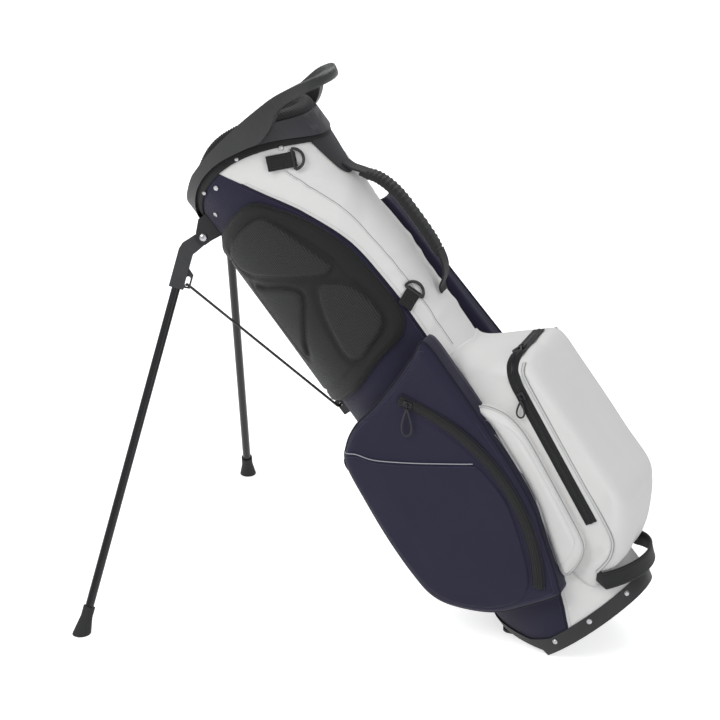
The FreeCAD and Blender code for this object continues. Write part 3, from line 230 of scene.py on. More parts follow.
def moulded(name, colour, shine, scuffs=0.25, depth=0.00008, metal=0.0):
    made, tree, shader = new_material(name)
    grain = group_in(tree, grain_tree, {"Colour": colour, "Scuffs": scuffs, "Shine": shine},
                     surface_place(tree))
    tree.links.new(grain.outputs["Color"], shader.inputs["Base Color"])
    tree.links.new(grain.outputs["Roughness"], shader.inputs["Roughness"])
    bump(tree, shader, grain.outputs["Height"], depth)
    shader.inputs["Metallic"].default_value = metal
    return made


def smooth_copy(node, body, material, crease=32, bevel=0.0):
    """A CAD part's own shape, welded, smoothed between its creases, with softened edges."""
    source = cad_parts[node]
    mesh = source.data.copy()
    mesh.materials.clear()
    mesh.materials.append(material)
    work = bmesh.new()
    work.from_mesh(mesh)
    bmesh.ops.remove_doubles(work, verts=work.verts, dist=1e-6)
    bmesh.ops.dissolve_limit(work, angle_limit=math.radians(0.5), verts=work.verts, edges=work.edges)
    for face in work.faces:
        face.material_index = 0
        face.smooth = True
    work.to_mesh(mesh)
    work.free()
    mesh.set_sharp_from_angle(angle=math.radians(crease))
    piece = bpy.data.objects.new(node + "_finish", mesh)
    bpy.context.collection.objects.link(piece)
    if bevel:
        softened = piece.modifiers.new("softened_edges", "BEVEL")
        softened.width, softened.segments, softened.limit_method = bevel, 2, "ANGLE"
        softened.angle_limit = math.radians(crease)
        softened.harden_normals = True
    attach(piece, body)
    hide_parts(node)
    return piece


base_black = moulded("base_moulding", linear(22, 22, 24), 0.46, 0.4)
smooth_copy("base_tray", "bag", base_black)
rivet_steel = moulded("rivet_steel", linear(176, 176, 178), 0.24, 0.2, 0.00001, 1.0)
smooth_copy("base_rivets", "bag", rivet_steel, 50)

# ---------------------------------------------------------------- fabric trunk
# A stiff laminated polyester sleeve: white over the spine side, navy round the leg side.
# The panels meet in a piped seam on each side, which is topstitched from end to end.
OVAL_EASE = 19.0
TRUNK = [(0, 118, 95, -4), (300, 116, 95, -4), (480, 118, 95, 2), (620, 119, 94, 4.5), (760, 116, 94, 2),
         (900, 120, 98, 2)]


def trunk_oval(up, grow=0.0):
    """Half depth, half width and middle of the trunk's oval at a height."""
    heights = [row[0] for row in TRUNK]
    depth, width, middle = (np.interp(up, heights, [row[k] for row in TRUNK]) for k in (1, 2, 3))
    return depth + grow, width + grow, middle


def oval_arcs(depth, width):
    end = width - OVAL_EASE
    reach = depth - end
    side = (reach ** 2 + width ** 2 - end ** 2) / (2 * (width - end))
    drop = side - width
    return end, reach, side, drop, math.atan2(drop, reach)


def oval_half_width(x, up, grow=0.0):
    """How far the oval's edge stands from the middle plane at a depth x, or 0 past its ends."""
    depth, width, middle = trunk_oval(up, grow)
    end, reach, side, drop, turn = oval_arcs(depth, width)
    dx = abs(x - middle)
    if dx <= side * math.cos(turn):
        return math.sqrt(side ** 2 - dx ** 2) - drop
    return math.sqrt(max(0.0, end ** 2 - (dx - reach) ** 2))


def oval_reach(y, up, grow=0.0):
    """The spine side's depth at a distance y from the middle plane."""
    low, high = 0.0, 140.0
    for _ in range(22):
        half = (low + high) / 2
        if oval_half_width(half, up, grow) > abs(y) and half < 140:
            low = half
        else:
            high = half
    return low


def walk(length, up, grow=0.0):
    """The oval's point at an arc length from the near side's middle, positive to the leg side."""
    depth, width, middle = trunk_oval(up, grow)
    end, reach, side, drop, turn = oval_arcs(depth, width)
    flat, cap = side * (math.pi / 2 - turn), end * 2 * turn
    whole = 2 * flat + cap
    travel = (length + flat) % (2 * whole)
    mirrored = travel > whole
    if mirrored:
        travel -= whole
    if travel <= 2 * flat:
        angle = turn + travel / side
        x, y, nx, ny = side * math.cos(angle), side * math.sin(angle) - drop, math.cos(angle), math.sin(angle)
    else:
        angle = math.pi - turn + (travel - 2 * flat) / end
        x, y, nx, ny = end * math.cos(angle) - reach, end * math.sin(angle), math.cos(angle), math.sin(angle)
    if mirrored:
        x, y, nx, ny = -x, -y, -nx, -ny
    return x + middle, -y, nx, -ny


def walk_to(x, up, far=False):
    """The arc length at which the near (or far) side of the oval reaches a depth x."""
    depth, width, middle = trunk_oval(up)
    end, reach, side, drop, turn = oval_arcs(depth, width)
    dx = x - middle
    edge = side * math.cos(turn)
    if abs(dx) <= edge:
        here = side * (math.pi / 2 - math.acos(max(-1, min(1, dx / side))))
        length = -here
    else:
        flat = side * (math.pi / 2 - turn)
        angle = math.acos(max(-1, min(1, (abs(dx) - reach) / end)))
        length = -math.copysign(flat + end * (turn - angle), dx)
    if far:
        flat = side * (math.pi / 2 - turn)
        return 2 * flat + 2 * end * turn - length
    return length


def saddle_height(x, radius, centre, middle):
    return centre + math.sqrt(max(0.0, radius ** 2 - (x - middle) ** 2))


def collar_height(x, raised=0.0):
    return saddle_height(x, 163.4, 708.6, 4.0) + raised


SEAM = [(4, 4), (25, 55), (56, 128), (85, 209), (93, 270), (91, 371), (91, 479), (92, 580), (85, 669),
        (58, 748), (20, 817), (-20, 890)]
seam_heights, seam_depths = [z for x, z in SEAM], [x for x, z in SEAM]


def smooth_table(value, xs, ys):
    """A smooth curve through a table of places: Catmull-Rom between its neighbours."""
    k = max(0, min(len(xs) - 2, int(np.searchsorted(xs, value)) - 1))
    t = (value - xs[k]) / (xs[k + 1] - xs[k])
    before, first, last, after = ys[max(0, k - 1)], ys[k], ys[k + 1], ys[min(len(ys) - 1, k + 2)]
    return 0.5 * (2 * first + (last - before) * t + (2 * before - 5 * first + 4 * last - after) * t ** 2
                  + (3 * first - before - 3 * last + after) * t ** 3)


def seam_at(up):
    return smooth_table(up, seam_heights, seam_depths)


def make_mesh(name, points, faces, material, uvs=None, smooth=True):
    """A mesh object from points in metres, faces turned outwards."""
    mesh = bpy.data.meshes.new(name)
    mesh.from_pydata([tuple(p) for p in points], [], faces)
    mesh.materials.append(material)
    if uvs is not None:
        layer = mesh.uv_layers.new(name="UVMap")
        for loop in mesh.loops:
            layer.data[loop.index].uv = uvs[loop.vertex_index]
    work = bmesh.new()
    work.from_mesh(mesh)
    bmesh.ops.recalc_face_normals(work, faces=work.faces)
    work.to_mesh(mesh)
    work.free()
    mesh.polygons.foreach_set("use_smooth", [smooth] * len(mesh.polygons))
    piece = bpy.data.objects.new(name, mesh)
    bpy.context.collection.objects.link(piece)
    return piece


def grid_faces(rows, columns, closed=False):
    across = columns if closed else columns - 1
    return [(r * columns + c, r * columns + (c + 1) % columns, (r + 1) * columns + (c + 1) % columns,
             (r + 1) * columns + c) for r in range(rows - 1) for c in range(across)]


def ride_on(piece, body, slot, *nodes):
    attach(piece, body)
    if nodes:
        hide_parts(*nodes)
    return piece


# Woven cloth: over and under threads with painted shade in the hollows between them, slubs, and broad soft
# shading from handling.
weave_tree, weave_in, weave_out = node_group(
    "woven_cloth",
    [("Place", "NodeSocketVector", None), ("Colour", "NodeSocketColor", (0.8, 0.8, 0.8, 1)),
     ("Pitch", "NodeSocketFloat", 0.0008), ("Contrast", "NodeSocketFloat", 0.12),
     ("Dust", "NodeSocketFloat", 0.05)],
    [("Color", "NodeSocketColor"), ("Height", "NodeSocketFloat"), ("Roughness", "NodeSocketFloat")])
weave_split = weave_tree.nodes.new("ShaderNodeSeparateXYZ")
weave_tree.links.new(weave_in.outputs["Place"], weave_split.inputs[0])
turns = maths(weave_tree, "DIVIDE", 2 * math.pi, weave_in.outputs["Pitch"])
warp = maths(weave_tree, "SINE", maths(weave_tree, "MULTIPLY", weave_split.outputs[0], turns))
weft = maths(weave_tree, "SINE", maths(weave_tree, "MULTIPLY", weave_split.outputs[1], turns))
crossing = maths(weave_tree, "MULTIPLY", warp, weft)
slubs = weave_tree.nodes.new("ShaderNodeMapping")
slubs.inputs["Scale"].default_value = (900, 60, 1)
weave_tree.links.new(weave_in.outputs["Place"], slubs.inputs["Vector"])
slub = noise(weave_tree, slubs.outputs["Vector"], 1.0, 2.0)
handling = noise(weave_tree, weave_in.outputs["Place"], 9.0, 4.0)
lift = maths(weave_tree, "ADD", maths(weave_tree, "MULTIPLY", crossing, 0.5),
             maths(weave_tree, "MULTIPLY", slub, 0.5))
weave_tree.links.new(lift, weave_out.inputs["Height"])
# Painted light and shade: the colour darkens where the weave's height is low, in the hollows between threads,
# and lightens where threads and slubs stand up.
weave_relief_shade = maths(weave_tree, "MULTIPLY", maths(weave_tree, "ADD", lift, -0.25), weave_in.outputs["Contrast"])
dusty = maths(weave_tree, "MULTIPLY", maths(weave_tree, "ADD", handling, -0.5), weave_in.outputs["Dust"])
weave_tone = maths(weave_tree, "ADD", maths(weave_tree, "ADD", weave_relief_shade, 1.0), dusty)
weave_tree.links.new(shade(weave_tree, weave_in.outputs["Colour"], weave_tone), weave_out.inputs["Color"])
weave_tree.links.new(maths(weave_tree, "ADD", maths(weave_tree, "MULTIPLY", handling, 0.16), 0.62),
                     weave_out.inputs["Roughness"])


def cloth(name, colour, pitch=0.0008, contrast=0.14, dust=0.08, sheen=0.15, depth=0.00012, source="UV"):
    made, tree, shader = new_material(name)
    woven = group_in(tree, weave_tree, {"Colour": colour, "Pitch": pitch, "Contrast": contrast, "Dust": dust},
                     surface_place(tree, source))
    tree.links.new(woven.outputs["Color"], shader.inputs["Base Color"])
    tree.links.new(woven.outputs["Roughness"], shader.inputs["Roughness"])
    bump(tree, shader, woven.outputs["Height"], depth)
    shader.inputs["Sheen Weight"].default_value = sheen
    shader.inputs["Specular IOR Level"].default_value = 0.3
    return made


white_cloth = cloth("white_polyester", linear(222, 221, 219), 0.0007, 0.07, 0.06, 0.06)
navy_cloth = cloth("navy_polyester", linear(27, 24, 48), 0.0007, 0.24, 0.16, 0.08)
dark_navy_cloth = cloth("navy_gusset", linear(20, 18, 36), 0.0007, 0.24, 0.14, 0.06)


def ripple(x, up, size=1.0):
    """Slow waves of hand-sewn cloth, in mm: two crossed swells and their drift."""
    return size * (0.5 * math.sin(up / 37 + x / 61) + 0.35 * math.sin(up / 19 - x / 43 + 1.3)
                   + 0.25 * math.sin(x / 23 + up / 71 + 0.6))


def pull_lines(x, up):
    """Wrinkles that run out from the grip's anchor and the collar, in mm."""
    folds = 0.0
    for centre_x, centre_up, tilt, length, width, height in (
            (96, 781, -0.6, 20, 5, 2.6), (90, 766, -0.5, 26, 5, 2.2), (60, 776, 0.3, 36, 6, -1.8),
            (114, 735, -1.3, 46, 6, 3.2), (110, 690, 1.2, 50, 7, -2.6), (88, 700, 0.9, 50, 7, 2.2),
            (106, 628, -0.8, 22, 5, 2.6), (101, 604, -0.7, 24, 5, 2.8), (98, 576, -0.9, 28, 6, 2.4),
            (104, 545, -0.6, 24, 6, 2.6), (100, 500, 0.5, 28, 7, 2.8), (84, 640, 1.1, 38, 7, 1.8)):
        dx, dz = x - centre_x, up - centre_up
        along, over = dx * math.cos(tilt) + dz * math.sin(tilt), -dx * math.sin(tilt) + dz * math.cos(tilt)
        folds += 0.65 * height * math.exp(-(along / length) ** 2 - (over / width) ** 2)
    return folds


HEM_CLEAR = 12.0
POCKET_BAND, POCKET_CALM = (90, 140, 440, 490), (1, 0.15, 0.15, 1)


def loose_cloth(up):
    """How freely the cloth waves at a height: hardly at all under the pockets."""
    return np.interp(up, POCKET_BAND, POCKET_CALM)


def trunk_panel(name, material, first, last, columns, rows, wrinkles):
    """A panel of the sleeve between two arc lengths that depend on the height."""
    points, uvs = [], []
    for r in range(rows):
        rise = r / (rows - 1)
        for c in range(columns):
            share = c / (columns - 1)
            up = 9 + (820 - 9) * rise
            for _ in range(6):
                length = first(up) + (last(up) - first(up)) * share
                x = walk(length, up)[0]
                foot = max(9.0, (HEM_CLEAR - (x + HEEL) * math.sin(LEAN)) / math.cos(LEAN))
                up = foot + (min(collar_height(x, -1), 872) - foot) * rise
            hem = min(1.0, 10 * share, 10 * (1 - share), 6 * rise, 8 * (1 - rise))
            hem *= loose_cloth(up)
            swell = hem * wrinkles * (ripple(length, up) + pull_lines(x, up)) - 0.5
            x, y, nx, ny = walk(length, up, swell)
            points.append(bag(x, y, up))
            uvs.append((length / 1000, up / 1000))
    piece = make_mesh(name, points, grid_faces(rows, columns), material, uvs)
    wall = piece.modifiers.new("cloth_wall", "SOLIDIFY")
    wall.thickness, wall.offset = 0.0014, -1
    return piece


def near_seam(up):
    return walk_to(seam_at(up), up)


def far_seam(up):
    return walk_to(seam_at(up), up, True)


def around(up):
    depth, width, middle = trunk_oval(up)
    end, reach, side, drop, turn = oval_arcs(depth, width)
    return 2 * (2 * side * (math.pi / 2 - turn) + 2 * end * turn)


def leg_middle(up):
    return around(up) / 4


white_sleeve = trunk_panel("white_sleeve", white_cloth, lambda up: far_seam(up) - around(up), near_seam,
                           120, 220, 1.0)
ride_on(white_sleeve, "bag", "white_fabric", "white_front_panel")
ride_on(trunk_panel("near_navy_sleeve", navy_cloth, near_seam, leg_middle, 50, 110, 0.6),
        "bag", "navy_fabric", "near_side_panel")
ride_on(trunk_panel("far_navy_sleeve", navy_cloth, leg_middle, far_seam, 50, 110, 0.6),
        "bag", "navy_fabric", "far_side_panel")


def tube_along(name, points, radius, material, closed=False, sides=8, flat=1.0):
    """A round or flattened cord swept through points in metres, as a mesh with its own UV."""
    count = len(points)
    verts, uvs, travelled = [], [], 0.0
    for k, point in enumerate(points):
        before = points[k - 1] if k or closed else points[k]
        after = points[(k + 1) % count] if k + 1 < count or closed else points[k]
        way = (after - before).normalized()
        side = way.cross(Vector((0.21, 0.35, 0.91))).normalized()
        up = side.cross(way)
        travelled += (point - points[k - 1]).length if k else 0
        for s in range(sides):
            turn = 2 * math.pi * s / sides
            verts.append(point + side * (radius * math.cos(turn)) + up * (radius * flat * math.sin(turn)))
            uvs.append((s / sides * 2 * math.pi * radius, travelled))
    rows = [tuple(k * sides + s for s in range(sides)) for k in range(count)]
    faces = [(a[s], a[(s + 1) % sides], b[(s + 1) % sides], b[s])
             for a, b in zip(rows, rows[1:] + (rows[:1] if closed else [])) for s in range(sides)]
    if not closed:
        faces += [tuple(reversed(rows[0])), rows[-1]]
    return make_mesh(name, verts, faces, material, uvs)


# Stitches: capsules of thread set along a line at one pitch, made by a node tree.
stitch_tree = bpy.data.node_groups.new("stitch_line", "GeometryNodeTree")
stitch_tree.interface.new_socket("Geometry", in_out="INPUT", socket_type="NodeSocketGeometry")
for label, kind, value in (("Pitch", "NodeSocketFloat", 0.0034), ("Length", "NodeSocketFloat", 0.0024),
                           ("Thread", "NodeSocketFloat", 0.00035), ("Material", "NodeSocketMaterial", None)):
    socket = stitch_tree.interface.new_socket(label, in_out="INPUT", socket_type=kind)
    if value is not None:
        socket.default_value = value
stitch_tree.interface.new_socket("Geometry", in_out="OUTPUT", socket_type="NodeSocketGeometry")
stitch_in, stitch_out = stitch_tree.nodes.new("NodeGroupInput"), stitch_tree.nodes.new("NodeGroupOutput")


def stitch_node(kind, mode=None, **links):
    node = stitch_tree.nodes.new(kind)
    if mode:
        node.mode = mode
    for label, source in links.items():
        stitch_tree.links.new(source, node.inputs[label.replace("_", " ")])
    return node


to_line = stitch_node("GeometryNodeMeshToCurve", Mesh=stitch_in.outputs["Geometry"])
spaced = stitch_node("GeometryNodeResampleCurve", "LENGTH", Curve=to_line.outputs[0],
                     Length=stitch_in.outputs["Pitch"])
dots = stitch_node("GeometryNodeCurveToPoints", "EVALUATED", Curve=spaced.outputs[0])
thread = stitch_node("GeometryNodeMeshCylinder", Radius=stitch_in.outputs["Thread"],
                     Depth=stitch_in.outputs["Length"])
thread.inputs["Vertices"].default_value = 6
facing = stitch_node("FunctionNodeAlignRotationToVector", Vector=dots.outputs["Tangent"])
facing.axis = "Z"
placed = stitch_node("GeometryNodeInstanceOnPoints", Points=dots.outputs["Points"],
                     Instance=thread.outputs["Mesh"],
                     Rotation=facing.outputs[0])
real = stitch_node("GeometryNodeRealizeInstances", Geometry=placed.outputs[0])
threaded = stitch_node("GeometryNodeSetMaterial", Geometry=real.outputs[0],
                       Material=stitch_in.outputs["Material"])
stitch_tree.links.new(threaded.outputs[0], stitch_out.inputs["Geometry"])


def sew(name, lines, material, body, slot, pitch=0.0034, length=0.0024, radius=0.00035):
    """Runs the stitch tree along lines of points, and keeps the result as one plain mesh."""
    verts, edges = [], []
    for line in lines:
        start = len(verts)
        verts += [tuple(p) for p in line]
        edges += [(start + k, start + k + 1) for k in range(len(line) - 1)]
    mesh = bpy.data.meshes.new(name)
    mesh.from_pydata(verts, edges, [])
    seam = bpy.data.objects.new(name, mesh)
    bpy.context.collection.objects.link(seam)
    sewing = seam.modifiers.new("sewing", "NODES")
    sewing.node_group = stitch_tree
    values = {"Pitch": pitch, "Length": length, "Thread": radius, "Material": material}
    for item in stitch_tree.interface.items_tree:
        if item.item_type == "SOCKET" and item.in_out == "INPUT" and item.name in values:
            sewing[item.identifier] = values[item.name]
    bpy.context.view_layer.update()
    done = bpy.data.meshes.new_from_object(seam.evaluated_get(bpy.context.evaluated_depsgraph_get()))
    seam.modifiers.clear()
    seam.data = done
    return ride_on(seam, body, slot)


def thread_material(name, colour):
    made, tree, shader = new_material(name)
    fuzz = noise(tree, surface_place(tree), 900.0)
    ramp = tree.nodes.new("ShaderNodeMix")
    ramp.data_type = "RGBA"
    ramp.inputs[6].default_value = tuple(0.7 * c for c in colour[:3]) + (1,)
    ramp.inputs[7].default_value = colour
    tree.links.new(fuzz, ramp.inputs["Factor"])
    tree.links.new(ramp.outputs[2], shader.inputs["Base Color"])
    shader.inputs["Roughness"].default_value = 0.6
    return made


navy_thread = thread_material("navy_thread", linear(62, 59, 88))
white_thread = thread_material("white_thread", linear(206, 206, 208))
black_thread = thread_material("black_thread", linear(52, 52, 54))


def on_sleeve(length, up, lift=0.0):
    x, y, nx, ny = walk(length, up, lift)
    return bag(x, y, up)


def seam_line(seam, shift, lift, top):
    line = []
    for step in range(150):
        up = 26 + (top - 26) * step / 149
        line.append(on_sleeve(seam(up) + shift, up, lift))
    return line


for side_name, seam, toward in (("near", near_seam, 1), ("far", far_seam, -1)):
    ride_on(tube_along(side_name + "_seam_piping", seam_line(seam, 0.0, 0.3, 828), 0.0011, dark_navy_cloth),
            "bag", "navy_fabric")
    sew(side_name + "_seam_stitches", [seam_line(seam, 5.0 * toward, 0.5, 826)], navy_thread, "bag",
        "navy_fabric")
    sew(side_name + "_white_stitches", [seam_line(seam, -6.0 * toward, 0.6, 826)], white_thread, "bag",
        "white_fabric")

# A felled seam runs down each side of the white panel, from the ring tab to the ball pocket; a thin grey cord
# in it is painted shade along its fold.
FELL = [(-76, 806), (-87, 776), (-98, 746), (-111, 709), (-117, 661), (-122, 613), (-126, 540),
        (-124, 497), (-124, 462)]
fell_keys = list(range(len(FELL)))
# The seam_shadow grey is painted shade: it colours the cords laid in the felled seams' folds and beside the
# piping.
painted_seam_shade = thread_material("seam_shadow", linear(150, 150, 150))
piping_white = cloth("white_piping", linear(204, 204, 203), 0.0011, 0.2, 0.05, 0.05)


def fell_line(lift, far, shift=0.0):
    line = []
    for spot in np.linspace(0, len(FELL) - 1, 120):
        length, up = (smooth_table(spot, fell_keys, [p[k] for p in FELL]) for k in (0, 1))
        length = -around(up) / 2 - length - shift if far else length + shift
        line.append(on_sleeve(length, up, lift + hem_swell(length, up)))
    return line


def hem_swell(length, up):
    """How far the white panel's cloth stands off the plain oval."""
    x = walk(length, up)[0]
    return loose_cloth(up) * (ripple(length, up) + pull_lines(x, up)) - 0.5


for side_name, far in (("near", False), ("far", True)):
    ride_on(tube_along(side_name + "_felled_seam_shade", fell_line(0.15, far), 0.0005, painted_seam_shade, sides=6), "bag",
            "white_fabric")
    sew(side_name + "_felled_stitches", [fell_line(0.2, far, 2.6)], white_thread, "bag", "white_fabric")


def piped(name, line, outward, radius=0.0016, closed=False):
    """White piping along a line, with grey cords on both sides as painted shade in the gutters of its seam."""
    ride_on(tube_along(name, line, radius, piping_white, closed), "bag", "white_fabric")
    for label, way in (("left", -1), ("right", 1)):
        gutter_shade = []
        for k, point in enumerate(line):
            before, after = line[max(0, k - 1)], line[min(len(line) - 1, k + 1)]
            across = (after - before).cross(outward).normalized()
            gutter_shade.append(point + across * (way * (radius + 0.0003)) - outward * (radius * 0.35))
        ride_on(tube_along(name + "_gutter_" + label, gutter_shade, 0.0005, painted_seam_shade, closed, 6), "bag",
                "white_fabric")

# ---------------------------------------------------------------- hip pad
# Moulded foam under black tricot, with three raised islands of spacer mesh and air channels
# between them. It is sewn to the sleeve where the bag rests against the golfer's hip.


def smooth_outline(points, count):
    """A closed Catmull-Rom line through the corners, cut to even steps."""
    corners = [np.array(p, float) for p in points]
    dense, n = [], len(corners)
    for k in range(n):
        before, first, last, after = corners[k - 1], corners[k], corners[(k + 1) % n], corners[(k + 2) % n]
        for step in range(12):
            t = step / 12
            dense.append(0.5 * (2 * first + (last - before) * t
                                + (2 * before - 5 * first + 4 * last - after) * t ** 2
                                + (3 * first - before - 3 * last + after) * t ** 3))
    dense = np.array(dense)
    steps = np.linalg.norm(np.roll(dense, -1, 0) - dense, axis=1)
    run = np.concatenate([[0], np.cumsum(steps)])
    spots = np.linspace(0, run[-1], count, endpoint=False)
    looped = np.vstack([dense, dense[:1]])
    return np.stack([np.interp(spots, run, looped[:, k]) for k in range(2)], 1)


def edge_distance(spots, outline):
    """How far each spot lies from a closed outline."""
    first, last = outline, np.roll(outline, -1, 0)
    way = last - first
    gap = spots[:, None] - first[None]
    share = np.clip((gap * way).sum(2) / np.maximum((way * way).sum(1), 1e-9), 0, 1)
    return np.linalg.norm(gap - share[..., None] * way[None], axis=2).min(1)


def round_edge(distance, radius):
    """The height share of a rounded edge at a distance in from it."""
    return np.sqrt(np.maximum(0.0, 1 - (1 - np.minimum(distance / radius, 1)) ** 2))


RING_SHARES = (0.05, 0.14, 0.24, 0.34, 0.43, 0.52, 0.6, 0.67, 0.73, 0.79, 0.84, 0.88, 0.915, 0.945, 0.97,
               0.988, 1.0)


def pouch(name, outline, place, profile, material, count=180, shares=RING_SHARES, middle=None,
          hem=(0.7, 0.35, 0.0)):
    """A closed padded form: rings from its middle to its outline, a side wall and a back."""
    edge = smooth_outline(outline, count)
    centre = np.array(middle) if middle is not None else edge.mean(0)
    spots = np.concatenate([[centre]] + [centre + (edge - centre) * share for share in shares])
    heights = profile(spots, edge_distance(spots, edge))
    points = [place(u, v, h) for (u, v), h in zip(spots, heights)]
    rim = heights[-count:]
    for share in hem:
        points += [place(u, v, h * share) for (u, v), h in zip(edge, rim)]
    for share in (0.6, 0.2):
        points += [place(u, v, 0.0) for u, v in centre + (edge - centre) * share]
    points.append(place(centre[0], centre[1], 0.0))
    rings = len(shares) + len(hem) + 2
    uvs = [(u / 1000, v / 1000) for u, v in spots]
    uvs += [(u / 1000, v / 1000 - h / 1000) for _ in hem for (u, v), h in zip(edge, rim)]
    uvs += [(u / 1000, v / 1000) for share in (0.6, 0.2) for u, v in centre + (edge - centre) * share]
    uvs.append((centre[0] / 1000, centre[1] / 1000))
    faces = [(0, 1 + k, 1 + (k + 1) % count) for k in range(count)]
    for r in range(rings - 1):
        a, b = 1 + r * count, 1 + (r + 1) * count
        faces += [(a + k, b + k, b + (k + 1) % count, a + (k + 1) % count) for k in range(count)]
    last = 1 + (rings - 1) * count
    faces += [(last + (k + 1) % count, last + k, len(points) - 1) for k in range(count)]
    return make_mesh(name, points, faces, material, uvs), edge


def on_pad(length, up, height):
    """A point above the trunk, at an arc length from the near side's middle."""
    x, y, nx, ny = walk(length, up, 0.5 + height)
    return bag(x, y, up)


near_edge = [(-45, 795), (-4, 799), (16, 791), (32, 772), (52, 742), (71, 698), (80, 660), (85, 620),
             (87, 580), (86, 548), (79, 528), (62, 516), (28, 509), (-21, 494), (-55, 488)]
pad_outline = [(walk_to(x, up), up) for x, up in near_edge]
pad_outline += [(leg_middle(484), 485), (walk_to(-60, 490, True), 486), (walk_to(-42, 500, True), 500),
                (walk_to(-42, 640, True), 640), (walk_to(-42, 770, True), 770),
                (walk_to(-60, 785, True), 783),
                (leg_middle(770), 768), (walk_to(-100, 776), 776), (walk_to(-74, 788), 788)]
MESH_ISLANDS = {
    "upper": [(-84, 754), (-66, 766), (-28, 774), (8, 773), (24, 750), (39, 709), (50, 673), (53, 657),
              (40, 655), (6, 672), (-34, 694), (-66, 712), (-86, 732)],
    "middle": [(-88, 690), (-62, 684), (-34, 672), (-14, 655), (-16, 642), (-40, 616), (-64, 592),
               (-86, 574)],
    "lower": [(22, 644), (42, 636), (59, 618), (67, 592), (69, 566), (60, 546), (34, 534), (8, 526),
              (-8, 538), (-6, 570), (4, 612)],
}
islands = {label: [(walk_to(x, up), up) for x, up in outline] for label, outline in MESH_ISLANDS.items()}
island_edges = {label: smooth_outline(outline, 90) for label, outline in islands.items()}


def inside(spots, outline):
    """Which spots lie inside a closed outline."""
    result = np.zeros(len(spots), bool)
    for (x1, y1), (x2, y2) in zip(outline, np.roll(outline, -1, 0)):
        crosses = (y1 > spots[:, 1]) != (y2 > spots[:, 1])
        result ^= crosses & (spots[:, 0] < (x2 - x1) * (spots[:, 1] - y1) / (y2 - y1 + 1e-12) + x1)
    return result


def pad_profile(spots, distance):
    height = 11.0 * round_edge(distance, 9.0)
    for inset, width, depth in ((23, 3.0, 2.6), (16, 1.5, 1.1), (10.5, 1.3, 1.0), (5.5, 1.2, 0.9)):
        height -= depth * np.exp(-((distance - inset) / width) ** 2)
    for outline in island_edges.values():
        gap = edge_distance(spots, outline)
        height = np.where(inside(spots, outline), height, height - 2.4 * np.exp(-((gap - 5) / 5.0) ** 2))
    return np.maximum(height, 0.4)


pad_black = cloth("pad_tricot", linear(21, 21, 22), 0.0009, 0.3, 0.3, 0.12, 0.00014)
pad, pad_edge = pouch("hip_cushion", pad_outline, on_pad, pad_profile, pad_black, 300,
                      tuple(np.linspace(0.03, 0.985, 62)) + (0.992, 1.0), (92, 640))
ride_on(pad, "bag", "black_padding", "hip_pad")
ride_on(tube_along("hip_pad_binding", [on_pad(u, v, 1.6) for u, v in pad_edge], 0.0019, pad_black, True, 8),
        "bag", "black_padding")

# Spacer mesh: rows of knitted holes over a dark core; the holes' near-black is partly the core's own colour
# and partly painted shade.
mesh_cloth, mesh_nodes, mesh_shader = new_material("spacer_mesh")
mesh_place = mesh_nodes.nodes.new("ShaderNodeMapping")
mesh_place.inputs["Scale"].default_value = (310, 430, 1)
mesh_nodes.links.new(surface_place(mesh_nodes, "UV"), mesh_place.inputs["Vector"])
cells = mesh_nodes.nodes.new("ShaderNodeTexVoronoi")
cells.inputs["Randomness"].default_value = 0.12
cells.inputs["Scale"].default_value = 1.0
mesh_nodes.links.new(mesh_place.outputs["Vector"], cells.inputs["Vector"])
knit = mesh_nodes.nodes.new("ShaderNodeMapRange")
knit.inputs["From Min"].default_value, knit.inputs["From Max"].default_value = 0.16, 0.42
mesh_nodes.links.new(cells.outputs["Distance"], knit.inputs["Value"])
knit_and_hole_shade = mesh_nodes.nodes.new("ShaderNodeMix")
knit_and_hole_shade.data_type = "RGBA"
# The first colour paints the holes near-black: the core's own dark colour with painted shade in the holes.
knit_and_hole_shade.inputs[6].default_value, knit_and_hole_shade.inputs[7].default_value = linear(3, 3, 4), linear(48, 48, 49)
mesh_nodes.links.new(knit.outputs["Result"], knit_and_hole_shade.inputs["Factor"])
mesh_nodes.links.new(knit_and_hole_shade.outputs[2], mesh_shader.inputs["Base Color"])
bump(mesh_nodes, mesh_shader, knit.outputs["Result"], 0.0006)
mesh_shader.inputs["Roughness"].default_value = 0.62
mesh_shader.inputs["Specular IOR Level"].default_value = 0.25
mesh_shader.inputs["Sheen Weight"].default_value = 0.05


def on_island(length, up, height):
    return on_pad(length, up, 9.6 + height)


for label, outline in islands.items():
    island, island_edge = pouch("mesh_island_" + label, outline, on_island,
                                lambda spots, distance: 5.2 * round_edge(distance, 7.0), mesh_cloth, 120)
    ride_on(island, "bag", "black_padding")
    cord = tube_along("mesh_island_cord_" + label, [on_island(u, v, 0.7) for u, v in island_edge], 0.0013,
                      pad_black, True, 8)
    ride_on(cord, "bag", "black_padding")
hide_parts("pad_mesh_panels")

# ---------------------------------------------------------------- side pockets
# The near garment pocket and the long far apparel pocket: navy cloth on a gusset, piped round the
# face. A curved coil zip opens the near one, and a slip pocket with a grey piped lip lies on it.
NEAR_POCKET = [(112, 494), (83, 486), (35, 470), (-17, 456), (-66, 447), (-99, 430), (-119, 406),
               (-130, 345), (-138, 277), (-140, 216), (-135, 172), (-112, 139), (-65, 104), (-14, 90),
               (41, 79), (50, 88), (66, 128), (81, 169), (95, 209), (104, 262), (110, 330), (114, 434)]
ZIP_RADIUS, ZIP_X, ZIP_UP, ZIP_TURN = 276.0, -187.0, 276.0, 38.0
POCKET_FACE = 126.0


def pocket_back(x, up):
    return max(oval_half_width(x, up, 0.5), 80.4)


def near_place(x, up, height):
    back = pocket_back(x, up)
    return bag(x, -(back + (POCKET_FACE - back) * height), up)


